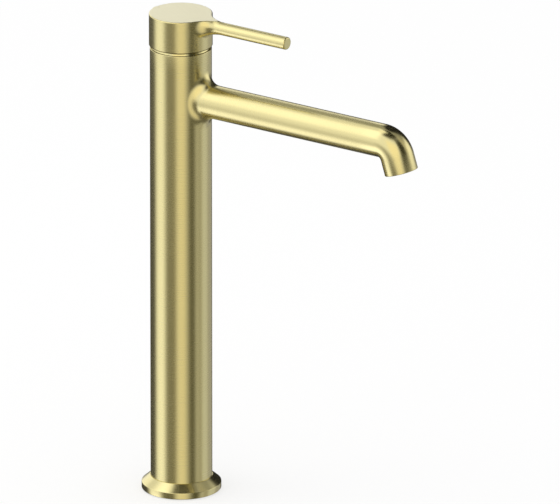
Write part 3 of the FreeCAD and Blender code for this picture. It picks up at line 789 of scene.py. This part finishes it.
def sweep_tree() -> NodeTree:
    """Geometry tree that rounds the corner of a route and sweeps a circle along it.

    Returns:
        The tree.
    """
    graph, source, target = geometry_tree("Swept tube", {
        "Route": "Geometry", "Radius": "Float", "Sides": "Int", "Bend Radius": "Float", "Bend Steps": "Int"})
    line = graph.geo("MeshToCurve", {"Mesh": source["Route"]})
    feeds = {"Curve": line, "Count": source["Bend Steps"], "Radius": source["Bend Radius"]}
    route = graph.geo("FilletCurve", feeds, mode="POLY")
    section = graph.circle(source["Sides"], source["Radius"])
    skin = graph.geo("CurveToMesh", {"Curve": route, "Profile Curve": section})
    graph.feed(target["Geometry"], graph.dressed(skin, source["Material"]))
    return graph.tree


@dataclass
class Spout:
    """Route of the spout: a level run, one bend and a short straight end."""

    height: float = 268.75 * MM
    reach: float = 172.3 * MM
    radius: float = 10.9 * MM
    bore: float = 8.0 * MM
    bend_radius: float = 12.0 * MM
    bend_angle: float = math.radians(72)
    straight: float = 10.6 * MM
    lip_round: float = 0.4 * MM
    recess_radius: float = 9.0 * MM
    recess_depth: float = 8.0 * MM
    bend_steps: int = 28

    @property
    def bend_start(self) -> float:
        """Where along X the bend begins."""
        across = self.bend_radius * math.sin(self.bend_angle) + self.straight * math.cos(self.bend_angle)
        return self.reach - across

    @property
    def outlet(self) -> Matrix:
        """Frame of the outlet: its origin at the mouth and +Z up the spout.

        Returns:
            The frame.
        """
        drop = self.bend_radius * (1 - math.cos(self.bend_angle)) + self.straight * math.sin(self.bend_angle)
        place = Matrix.Translation((self.reach, 0.0, self.height - drop))
        return place @ Matrix.Rotation(self.bend_angle - QUARTER_TURN, 4, "Y")

    def route(self, start: float, stop: float) -> Mesh:
        """Line along the spout with its corner left sharp.

        Args:
            start: Where along X it begins.
            stop: How far above the mouth it ends.

        Returns:
            The line.
        """
        corner = self.bend_start + self.bend_radius * math.tan(self.bend_angle / 2)
        end = self.outlet @ Vector((0.0, 0.0, stop))
        return point_mesh([(start, 0.0, self.height), (corner, 0.0, self.height), tuple(end)], joined=True)

    def follow(self, points: np.ndarray) -> tuple[np.ndarray, np.ndarray]:
        """How far along the route points lie, and which way it runs there.

        Args:
            points: Points by xyz.

        Returns:
            The distances and the directions.
        """
        across = points[:, 0] - self.bend_start
        above = points[:, 2] - self.height + self.bend_radius
        angle = np.clip(np.arctan2(across, above), 0.0, self.bend_angle)
        up = np.array(self.outlet.col[2][:3])
        mouth = np.array(self.outlet.translation)
        left = self.straight - (points - mouth) @ up
        level = np.minimum(points[:, 0], self.bend_start)
        ended = np.where(angle >= self.bend_angle, np.maximum(left, 0.0), 0.0)
        run = level + self.bend_radius * angle + ended
        return run, np.stack([np.cos(angle), np.zeros_like(angle), -np.sin(angle)], axis=-1)


@dataclass
class Casting:
    """Column and bent spout in one hollow casting, open at its head, its foot and its mouth."""

    spout: Spout = field(default_factory=Spout)
    radius: float = 20.0 * MM
    foot: float = field(default_factory=lambda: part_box("body_casting")[0].z)
    head: float = field(default_factory=lambda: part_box("body_casting")[1].z)
    rim_round: float = 0.5 * MM
    nut_bore: float = 16.5 * MM
    nut_floor: float = 289.5 * MM
    chamber: float = 14.1 * MM
    chamber_floor: float = 272.5 * MM
    bore: float = 17.5 * MM
    foot_bore: float = 18.3 * MM
    foot_bore_top: float = 16.0 * MM
    root_fillet: float = 9.0 * MM
    root_end: float = 29.6 * MM
    bore_start: float = 18.5 * MM
    window_half_angle: float = math.radians(50)
    window_half_height: float = 22.0 * MM
    sides: int = 144
    spout_sides: int = 160
    patch_steps: int = 9
    root_steps: int = 14
    lay_width: float = 3.0 * MM

    window_edges = 4

    @property
    def window_steps(self) -> int:
        """Steps along each edge of the window that the spout's root fills."""
        return self.spout_sides // self.window_edges

    def outline(self) -> np.ndarray:
        """Outline of the column's wall, from its foot up the outside and down the bores.

        Returns:
            Points in (radius, height).
        """
        window = np.linspace(-1, 1, self.window_steps + 1) * self.window_half_height
        outside = [(self.radius, self.foot)]
        outside += [(self.radius, self.spout.height + step) for step in window]
        rim = (self.radius - self.rim_round, self.head - self.rim_round)
        outside += round_corner(rim, self.rim_round, 0.0, QUARTER_TURN)
        inside = stepped((self.nut_bore, self.chamber, self.bore, self.foot_bore),
                         (self.head, self.nut_floor, self.chamber_floor, self.foot_bore_top, self.foot))
        return np.array(outside + inside + outside[:1])

    def add_column(self, skin: Skin) -> None:
        """Add the column, with a window left open for the spout's root.

        Args:
            skin: The surface that it becomes part of.
        """
        rings = turned(self.outline(), self.sides)
        open_cells = np.zeros((len(rings) - 1, self.sides), dtype=bool)
        reach = round(self.window_half_angle / FULL_TURN * self.sides)
        columns = np.arange(-reach, reach) % self.sides
        rows = np.arange(1, self.window_steps + 1)
        open_cells[np.ix_(rows, columns)] = True
        skin.grid(rings, open_cells)

    def window_edge(self) -> tuple[np.ndarray, np.ndarray]:
        """Edge of the window, from its top centre round by the +Y side.

        Returns:
            Angles and heights above the spout's axis.
        """
        share = np.arange(self.spout_sides) / self.spout_sides * self.window_edges
        corners = [0, 0.5, 1.5, 2.5, 3.5, 4]
        x = np.interp(share, corners, [0, 1, 1, -1, -1, 0])
        z = np.interp(share, corners, [1, 1, -1, -1, 1, 1])
        return x * self.window_half_angle, z * self.window_half_height

    def add_root(self, skin: Skin) -> None:
        """Add the rounded root: the path of a ball that rolls round between column and spout.

        Args:
            skin: The surface that it becomes part of.
        """
        turn = np.linspace(0, FULL_TURN, self.spout_sides, endpoint=False)
        around = np.stack([np.zeros_like(turn), np.sin(turn), np.cos(turn)], axis=-1)
        axis = np.array([0.0, 0.0, self.spout.height])
        far = self.radius + self.root_fillet
        ball = axis + (self.spout.radius + self.root_fillet) * around
        ball[:, 0] = np.sqrt(far ** 2 - ball[:, 1] ** 2)
        to_column = -ball * (1, 1, 0) / far
        edge_angle, edge_height = self.window_edge()
        hole_angle = np.arcsin(ball[:, 1] / far)
        hole_height = ball[:, 2] - self.spout.height
        rings = []
        for share in np.linspace(0, 1, self.patch_steps + 1):
            angle = edge_angle + (hole_angle - edge_angle) * share
            height = edge_height + (hole_height - edge_height) * share
            ring = [self.radius * np.cos(angle), self.radius * np.sin(angle), self.spout.height + height]
            rings.append(np.stack(ring, axis=-1))
        opening = np.arccos(np.clip(np.sum(to_column * -around, axis=1), -1, 1))[:, None]
        for share in np.linspace(0, 1, self.root_steps + 1)[1:]:
            ray = np.sin((1 - share) * opening) * to_column + np.sin(share * opening) * -around
            rings.append(ball + self.root_fillet * ray / np.sin(opening))
        last = axis + self.spout.radius * around
        last[:, 0] = self.root_end
        rings.append(last)
        skin.grid(np.stack(rings))

    def add_spout(self, skin: Skin, material: Material) -> None:
        """Add the spout's outside, its mouth and its bore.

        Args:
            skin: The surface that they become part of.
            material: The casting's finish.
        """
        spout = self.spout
        tree = sweep_tree()
        values = {"Radius": spout.radius, "Sides": self.spout_sides, "Bend Radius": spout.bend_radius,
                  "Bend Steps": spout.bend_steps, "Material": material}
        skin.tube(grow(tree, values, spout.route(self.root_end, spout.lip_round)))
        values["Radius"] = spout.bore
        skin.tube(grow(tree, values, spout.route(self.bore_start, spout.recess_depth)))
        lip = (spout.radius - spout.lip_round, spout.lip_round)
        mouth = round_corner(lip, spout.lip_round, 0.0, -QUARTER_TURN)
        mouth += [(spout.recess_radius, 0.0), (spout.recess_radius, spout.recess_depth)]
        mouth += [(spout.bore, spout.recess_depth)]
        skin.grid(moved(turned(mouth, self.spout_sides), spout.outlet))
        end = turned([(spout.bore, 0.0), (0.0, 0.0)], self.spout_sides)
        place = Matrix.Translation((self.bore_start, 0, spout.height))
        skin.grid(moved(end, place @ Matrix.Rotation(QUARTER_TURN, 4, "Y")))

    def lay_marks(self, mesh: Mesh) -> None:
        """Store on each point how far along the brushing it lies and which way that goes.

        Args:
            mesh: The casting's mesh.
        """
        points = points_of(mesh)
        run, way = self.spout.follow(points)
        off_axis = np.hypot(points[:, 1], points[:, 2] - self.spout.height)
        near = smooth_step(1 - (off_axis - self.spout.radius) / self.lay_width)
        ahead = smooth_step((points[:, 0] - self.radius / 2) / self.lay_width)
        on_spout = np.where(points[:, 0] > self.root_end - WELD, 1.0, near * ahead)[:, None]
        lay = np.array(UP) * (1 - on_spout) + way * on_spout + np.array(TILT)
        lay /= np.linalg.norm(lay, axis=1)[:, None]
        along = points[:, 2:] * (1 - on_spout) + (run[:, None] + self.spout.height) * on_spout
        stored = mesh.attributes.new(RUN_NAME, "FLOAT", "POINT")
        stored.data.foreach_set("value", along.ravel())
        stored = mesh.attributes.new(LAY_NAME, "FLOAT_VECTOR", "POINT")
        stored.data.foreach_set("vector", lay.ravel())

    def build(self, palette: Palette) -> None:
        """Build and dress the casting.

        Args:
            palette: Every finish.
        """
        material = palette.gold[Lay.CASTING]
        skin = Skin()
        self.add_column(skin)
        self.add_root(skin)
        self.add_spout(skin, material)
        mesh = skin.close("column_and_spout", material)
        self.lay_marks(mesh)
        settle("column_and_spout", mesh, Body.FIXED, Slot.GOLD, "body_casting")


@dataclass
class FlaredBase:
    """Ring at the foot: an upright band, a cone that leans in to the column and a grooved underside."""

    outer: float = 25.85 * MM
    band: float = 4.1 * MM
    top: float = field(default_factory=lambda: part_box("base_ring")[1].z)
    bore: float = 20.1 * MM
    land: float = 0.3 * MM
    edge_round: float = 0.4 * MM
    ledge: float = 1.5 * MM
    ledge_bore: float = 18.35 * MM
    groove_inner: float = 21.7 * MM
    groove_outer: float = 24.7 * MM
    groove_depth: float = 1.8 * MM
    sides: int = 200

    def outline(self) -> list[tuple[float, float]]:
        """Closed outline of the ring.

        Returns:
            Points in (radius, height).
        """
        slope = math.atan2(self.top - self.band, self.outer - self.bore - self.land)
        lean = QUARTER_TURN - slope
        inset = self.outer - self.edge_round
        shoulder = (inset, self.band - self.edge_round * math.tan(lean / 2))
        points = round_corner((inset, self.edge_round), self.edge_round, -QUARTER_TURN, 0.0)
        points += round_corner(shoulder, self.edge_round, 0.0, lean)
        points += [(self.bore + self.land, self.top)]
        points += stepped((self.bore, self.ledge_bore, self.groove_inner, self.groove_outer),
                          (self.top, self.ledge, 0.0, self.groove_depth, 0.0))
        return points + points[:1]

    def build(self, palette: Palette) -> None:
        """Build and dress the base ring, and dress its seal.

        Args:
            palette: Every finish.
        """
        skin = Skin()
        skin.grid(turned(self.outline(), self.sides))
        mesh = skin.close("flared_base", palette.gold[Lay.TURNED])
        settle("flared_base", mesh, Body.FIXED, Slot.GOLD, "base_ring")
        dress(palette.rubber, "deck_seal")


CELL_SIDES = 6
RIM_SIDES = 96


def honeycomb_tree() -> NodeTree:
    """Geometry tree of a round plate with a honeycomb of through holes.

    Returns:
        The tree.
    """
    graph, source, target = geometry_tree("Honeycomb", {
        "Seed": "Geometry", "Pitch": "Float", "Cell Width": "Float", "Rings": "Int", "Radius": "Float",
        "Depth": "Float"})
    rings, pitch = source["Rings"], source["Pitch"]
    across = graph.maths("MULTIPLY_ADD", rings, 2.0, 1.0)
    index = graph.geo("InputIndex")
    column = graph.maths("SUBTRACT", graph.maths("MODULO", index, across), rings)
    row = graph.maths("SUBTRACT", graph.maths("FLOOR", graph.maths("DIVIDE", index, across)), rings)
    x = graph.maths("MULTIPLY", graph.maths("MULTIPLY", column, ROOT_3 / 2), pitch)
    y = graph.maths("MULTIPLY", graph.maths("MULTIPLY_ADD", column, 0.5, row), pitch)
    feeds = {"Count": graph.maths("MULTIPLY", across, across), "Position": graph.vector(x, y)}
    places = graph.geo("Points", feeds)
    outside = graph.maths("ABSOLUTE", graph.maths("ADD", column, row))
    outside = graph.maths("GREATER_THAN", outside, rings)
    kept = graph.geo("DeleteGeometry", {"Geometry": places, "Selection": outside}, domain="POINT")
    cell = graph.circle(CELL_SIDES, graph.maths("DIVIDE", source["Cell Width"], ROOT_3))
    cells = graph.geo("InstanceOnPoints", {"Points": kept, "Instance": cell})
    cells = graph.geo("RealizeInstances", {"Geometry": cells})
    curves = graph.add("GeometryNodeJoinGeometry", {0: cells})
    graph.feed(curves.inputs[0], graph.circle(RIM_SIDES, source["Radius"]))
    floor = graph.geo("FillCurve", {"Curve": curves.outputs[0]}, mode="TRIANGLES")
    feeds = {"Mesh": floor, "Offset": tuple(UP), "Offset Scale": source["Depth"], "Individual": False}
    plate = graph.add("GeometryNodeJoinGeometry", {0: graph.geo("ExtrudeMesh", feeds, mode="FACES")})
    graph.feed(plate.inputs[0], graph.geo("FlipFaces", {"Mesh": floor}))
    welded = graph.geo("MergeByDistance", {"Geometry": plate.outputs[0], "Distance": WELD})
    graph.feed(target["Geometry"], graph.dressed(welded, source["Material"]))
    return graph.tree


@dataclass
class StreamStraightener:
    """Honeycomb in the spout's mouth, with its sleeve and washer."""

    spout: Spout = field(default_factory=Spout)
    pitch: float = 2.5 * MM
    cell_width: float = 2.1 * MM
    rings: int = 2
    radius: float = 7.5 * MM
    foot: float = 1.8 * MM
    depth: float = 5.2 * MM

    def build(self, palette: Palette) -> None:
        """Build the honeycomb, and dress its sleeve and washer.

        Args:
            palette: Every finish.
        """
        values = {"Pitch": self.pitch, "Cell Width": self.cell_width, "Rings": self.rings,
                  "Radius": self.radius, "Depth": self.depth, "Material": palette.aerator}
        mesh = grow(honeycomb_tree(), values, point_mesh([(0.0, 0.0, 0.0)]))
        mesh.transform(self.spout.outlet @ Matrix.Translation((0.0, 0.0, self.foot)))
        mesh = close_up(mesh, palette.aerator)
        settle("stream_honeycomb", mesh, Body.FIXED, Slot.AERATOR, "aerator_insert")
        dress(palette.aerator, "aerator_housing")
        dress(palette.rubber, "aerator_gasket")


RIDGE_SIDES = 6
RIDGE_SHARE = 0.36


def thread_tree() -> NodeTree:
    """Geometry tree that puts a thread's helical ridge at each point of a mesh.

    Returns:
        The tree.
    """
    graph, source, target = geometry_tree("Thread", {
        "Places": "Geometry", "Radius": "Float", "Pitch": "Float", "Turns": "Float", "Steps": "Int"})
    rise = graph.maths("MULTIPLY", source["Pitch"], source["Turns"])
    feeds = {"Resolution": source["Steps"], "Rotations": source["Turns"], "Start Radius": source["Radius"],
             "End Radius": source["Radius"], "Height": rise}
    helix = graph.geo("CurveSpiral", feeds)
    ridge = graph.circle(RIDGE_SIDES, graph.maths("MULTIPLY", source["Pitch"], RIDGE_SHARE))
    thread = graph.geo("CurveToMesh", {"Curve": helix, "Profile Curve": ridge, "Fill Caps": True})
    threads = graph.geo("InstanceOnPoints", {"Points": source["Places"], "Instance": thread})
    graph.feed(target["Geometry"], graph.dressed(threads, source["Material"]))
    return graph.tree


@dataclass
class Foot:
    """Brass plug in the column's foot, with the threads of its two hose ports and its stud hole."""

    port_x: float = 4.0 * MM
    port_y: float = 8.5 * MM
    port_radius: float = 4.5 * MM
    port_pitch: float = 1.0 * MM
    port_turns: float = 9.0
    stud_x: float = -8.5 * MM
    stud_radius: float = 3.4 * MM
    stud_pitch: float = 1.25 * MM
    stud_turns: float = 8.0
    turn_steps: int = 40

    def thread(self, name: str, places: Sequence, radius: float, pitch: float, turns: float,
               material: Material) -> None:
        """Build the thread ridges of like holes as one piece.

        Args:
            name: The piece's name.
            places: Where the threads begin.
            radius: Radius of the holes.
            pitch: Rise of the ridge in one turn.
            turns: Number of turns.
            material: The finish.
        """
        values = {"Radius": radius, "Pitch": pitch, "Turns": turns, "Material": material,
                  "Steps": self.turn_steps}
        mesh = grow(thread_tree(), values, point_mesh(places))
        settle(name, close_up(mesh, material), Body.FIXED, Slot.BRASS)

    def build(self, palette: Palette) -> None:
        """Build the threads, and dress the plug.

        Args:
            palette: Every finish.
        """
        ports = [(self.port_x, side * self.port_y, self.port_pitch) for side in (-1, 1)]
        self.thread("hose_port_threads", ports, self.port_radius, self.port_pitch, self.port_turns,
                    palette.brass)
        self.thread("stud_hole_thread", [(self.stud_x, 0.0, self.stud_pitch)], self.stud_radius,
                    self.stud_pitch, self.stud_turns, palette.brass)
        dress(palette.brass, "base_insert")


@dataclass
class Handle:
    """Cap with its pin lever, the plug in its back and the screw and spindle inside."""

    plated: tuple[str, ...] = ("handle_casting", "handle_plug")
    cover: str = "dome_cover"
    screw: str = "handle_grub_screw"
    spindle: str = "lever_spindle"

    def build(self, palette: Palette) -> None:
        """Dress the handle's pieces.

        Args:
            palette: Every finish.
        """
        dress(palette.gold[Lay.HANDLE], *self.plated)
        dress(palette.gold[Lay.TURNED], self.cover)
        dress(palette.steel, self.screw)
        dress(palette.brass, self.spindle)


@dataclass
class Cartridge:
    """Valve under the cap and the ways that feed it."""

    seals: tuple[str, ...] = ("port_seals", "manifold_o_rings", "tube_o_rings", "dome_o_ring")
    blocks: tuple[str, ...] = ("valve_manifold", "retaining_nut")
    tubes: tuple[str, ...] = ("hot_supply_tube", "cold_supply_tube")
    shells: tuple[str, ...] = ("cartridge_base", "cartridge_housing")
    carriers: tuple[str, ...] = ("spindle_carrier", "disc_carrier")
    discs: tuple[str, ...] = ("fixed_disc", "moving_disc")
    pin: str = "pivot_pin"

    def build(self, palette: Palette) -> None:
        """Dress the cartridge's pieces.

        Args:
            palette: Every finish.
        """
        dress(palette.rubber, *self.seals)
        dress(palette.brass, *self.blocks)
        dress(palette.copper, *self.tubes)
        dress(palette.grey, *self.shells)
        dress(palette.white, *self.carriers)
        dress(palette.ceramic, *self.discs)
        dress(palette.steel, self.pin)


@dataclass(frozen=True)
class Card:
    """Soft-edged reflector or flag on the surround, which only reflections show.

    Attributes:
        left: Bearing of its left edge in degrees, from the camera's side and positive to the right.
        right: Bearing of its right edge.
        low: Height of its lower edge above the horizon, in degrees.
        high: Height of its upper edge.
        soft: How far its edges fade to either side, in degrees.
        tone: Its colour.
    """

    left: float
    right: float
    low: float
    high: float
    soft: float
    tone: Colour

    def cover(self, turn: np.ndarray, rise: np.ndarray) -> np.ndarray:
        """How far the card covers each direction.

        Args:
            turn: Bearings in degrees.
            rise: Heights above the horizon in degrees.

        Returns:
            Shares between 0 and 1.
        """
        off = np.abs((turn - (self.left + self.right) / 2 + 180) % 360 - 180)
        inside = [(self.right - self.left) / 2 - off, rise - self.low, self.high - rise]
        return np.prod([smooth_step(0.5 + edge / (2 * self.soft)) for edge in inside], axis=0)


# In the order in which they are hung, each over the ones before it.
CARDS = {
    "left rear fill": Card(-150, -106, 0, 66, 8, (0.84, 0.84, 0.84)),
    "upper left lamp": Card(-108, -60, 20, 73, 10, (1.44, 1.44, 1.42)),
    "lower left card": Card(-108, -63, -55, -26, 8, (1.50, 1.50, 1.56)),
    "left gap": Card(-62, -13, -90, -4, 13, (0.15, 0.14, 0.10)),
    "front card": Card(-13, 22, -70, -2, 15, (0.84, 0.77, 0.60)),
    "front upper card": Card(-32, 20, -3, 44, 9, (1.17, 1.07, 0.84)),
    "right gap": Card(22, 60, -90, 4, 16, (0.09, 0.085, 0.055)),
    "right upper gap": Card(28, 76, 2, 60, 9, (0.03, 0.03, 0.015)),
    "right upper fill": Card(77, 103, 4, 60, 9, (0.45, 0.42, 0.32)),
    "upper right flag": Card(-60, 104, 60, 120, 9, (0.06, 0.055, 0.04)),
    "right near card": Card(62, 90, -70, 2, 13, (0.37, 0.36, 0.32)),
    "right far card": Card(88, 114, -70, 6, 12, (0.60, 0.62, 0.66)),
    "right upper card": Card(88, 120, -2, 32, 8, (1.15, 1.13, 1.08)),
    "right high fill": Card(100, 150, 32, 74, 9, (0.30, 0.30, 0.28)),
    "right rear fill": Card(112, 172, -70, -6, 10, (0.39, 0.39, 0.41)),
    "right rear flag": Card(128, 186, -8, 74, 8, (0.02, 0.02, 0.02)),
    "rear edge flag": Card(157, 186, -44, 0, 6, (0.02, 0.02, 0.02)),
    "ceiling flag": Card(-180, 180, 74, 120, 6, (0.02, 0.02, 0.01)),
    "top lamp": Card(-140, -64, 64, 90, 6, (1.15, 1.13, 1.04)),
    "rear upper flag": Card(-180, -150, 16, 74, 8, (0.36, 0.36, 0.33)),
    "rear card": Card(175, 196, 8, 32, 4, (1.08, 1.08, 1.08)),
    "rear left flag": Card(-180, -107, -90, -4, 14, (0.06, 0.06, 0.06)),
    "left rear card": Card(-172, -132, -2, 30, 6, (1.15, 1.15, 1.15)),
    "floor flag": Card(-180, 180, -120, -58, 8, (0.14, 0.135, 0.12)),
}


def aim(item: Object, place: Vector, away: Vector) -> None:
    """Put a camera or lamp in its place, looking back the way that it stands away."""
    item.location = place
    item.rotation_euler = (-away).to_track_quat("-Z", "Y").to_euler()


@dataclass
class Studio:
    """Camera, pale floor, white surroundings, a surround of soft cards and one soft lamp."""

    azimuth: float = math.radians(34.78)
    elevation: float = math.radians(19.63)
    aim_right: float = 0.0638
    aim_up: float = 0.1516
    view_width: float = 0.3628
    lens_mm: float = 1400.0
    sensor_mm: float = 36.0
    clip_factor: float = 3.0
    floor_radius: float = 3.0
    floor_drop: float = 0.5 * MM
    floor_sides: int = 96
    floor_colour: Colour = (0.97, 0.97, 0.97)
    floor_fade: float = 0.99
    floor_patches: float = 3.0
    floor_white: float = 0.6
    surround_radius: float = 4.0
    surround_centre: float = 0.2
    surround_sides: int = 180
    lamp_bearing: float = math.radians(-90)
    lamp_rise: float = math.radians(55)
    lamp_distance: float = 1.2
    lamp_side: float = 0.55
    lamp_radiance: float = 1.0

    @property
    def towards(self) -> Vector:
        """Level direction from the mixer towards the camera."""
        return Vector((math.sin(self.azimuth), -math.cos(self.azimuth), 0.0))

    @property
    def right(self) -> Vector:
        """Level direction to the picture's right."""
        return Vector((math.cos(self.azimuth), math.sin(self.azimuth), 0.0))

    def bearing(self, turn: float, rise: float) -> Vector:
        """Direction at an angle to the right of the camera's side and an angle above the horizon."""
        level = self.towards * math.cos(turn) + self.right * math.sin(turn)
        return level * math.cos(rise) + UP * math.sin(rise)

    def place_camera(self) -> None:
        """Set a long lens at the photograph's viewing angle."""
        back = self.bearing(0.0, self.elevation)
        centre = self.right * self.aim_right + back.cross(self.right) * self.aim_up
        distance = self.view_width * self.lens_mm / self.sensor_mm
        data = bpy.data.cameras.new("camera")
        data.lens = self.lens_mm
        data.sensor_width = self.sensor_mm
        data.clip_end = self.clip_factor * distance
        camera = link("camera", data)
        aim(camera, centre + back * distance, back)
        bpy.context.scene.camera = camera

    def lay_floor(self) -> None:
        """Lay a pale floor that is clear from below and that the metal doesn't mirror."""
        material, graph, shader = new_material("pale_floor")
        shade = graph.noise(graph.spot(), self.floor_patches)
        darker = tuple(self.floor_fade * part for part in self.floor_colour)
        graph.fill(shader.inputs, {"Base Color": graph.mix_colour(shade, self.floor_colour, darker),
                                   "Roughness": 1.0, "Specular IOR Level": 0.0})
        path = graph.add("ShaderNodeLightPath").outputs
        seen = graph.maths("MAXIMUM", path["Is Camera Ray"], path["Is Glossy Ray"])
        seen = graph.maths("MAXIMUM", seen, path["Is Transmission Ray"])
        share = graph.maths("MULTIPLY", seen, self.floor_white)
        pale = graph.mix_shader(share, shader.outputs[0], graph.glow(WHITE))
        below = graph.add("ShaderNodeNewGeometry").outputs["Backfacing"]
        clear = graph.add("ShaderNodeBsdfTransparent").outputs[0]
        graph.show(graph.mix_shader(below, pale, clear))
        mesh = drawn("floor", bmesh.ops.create_circle, cap_ends=True, radius=self.floor_radius,
                     segments=self.floor_sides)
        mesh.transform(Matrix.Translation((0.0, 0.0, -self.floor_drop)))
        mesh.materials.append(material)
        floor = link("floor", mesh)
        floor.visible_glossy = False

    def hang_surround(self) -> None:
        """Hang a round screen with the soft cards on it, which only the metal mirrors."""
        mesh = drawn("surround", bmesh.ops.create_uvsphere, u_segments=self.surround_sides,
                     v_segments=self.surround_sides // 2, radius=1.0)
        away = points_of(mesh)
        turn = np.degrees(np.arctan2(away @ np.array(self.right), away @ np.array(self.towards)))
        rise = np.degrees(np.arcsin(np.clip(away[:, 2], -1.0, 1.0)))
        tones = np.ones((len(away), 4))
        for card in CARDS.values():
            share = card.cover(turn, rise)[:, None]
            tones = tones * (1 - share) + np.array([*card.tone, 1.0]) * share
        stored = mesh.attributes.new(TONE_NAME, "FLOAT_COLOR", "POINT")
        stored.data.foreach_set("color", tones.ravel())
        mesh.transform(Matrix.Translation(UP * self.surround_centre) @ Matrix.Scale(self.surround_radius, 4))
        material, graph, shader = new_material("soft_cards")
        graph.tree.nodes.remove(shader)
        graph.show(graph.glow(graph.stored(TONE_NAME, "Color")))
        material.cycles.emission_sampling = "NONE"
        mesh.materials.append(material)
        screen = link("surround", mesh)
        screen.visible_camera = False
        screen.visible_diffuse = False
        screen.visible_transmission = False
        screen.visible_shadow = False

    def light(self) -> None:
        """Make the surroundings white and hang one soft lamp over the spout."""
        world = bpy.data.worlds.new("surroundings")
        world.use_nodes = True
        graph = Graph(world.node_tree)
        graph.fill(graph.tree.nodes["Background"].inputs, {"Color": WHITE, "Strength": 1.0})
        world.cycles.sampling_method = "NONE"
        bpy.context.scene.world = world
        data = bpy.data.lights.new("soft_lamp", "AREA")
        data.size = self.lamp_side
        data.energy = self.lamp_radiance * math.pi * self.lamp_side ** 2
        lamp = link("soft_lamp", data)
        away = self.bearing(self.lamp_bearing, self.lamp_rise)
        aim(lamp, UP * self.surround_centre + away * self.lamp_distance, away)
        lamp.visible_camera = False
        lamp.visible_glossy = False

    def build(self) -> None:
        """Set up the studio."""
        bpy.context.scene.view_settings.view_transform = "Standard"
        self.place_camera()
        self.lay_floor()
        self.hang_surround()
        self.light()
        LOG.info("studio with %d cards", len(CARDS))


def main() -> None:
    """Build the studio, then each sub-assembly from the foot up."""
    logging.basicConfig(level=logging.INFO, format="%(name)s: %(message)s")
    Studio().build()
    palette = Palette()
    for assembly in (FlaredBase(), Foot(), Casting(), StreamStraightener(), Cartridge(), Handle()):
        assembly.build(palette)
        LOG.info("finished %s", type(assembly).__name__)


if __name__ == "__main__":
    main()
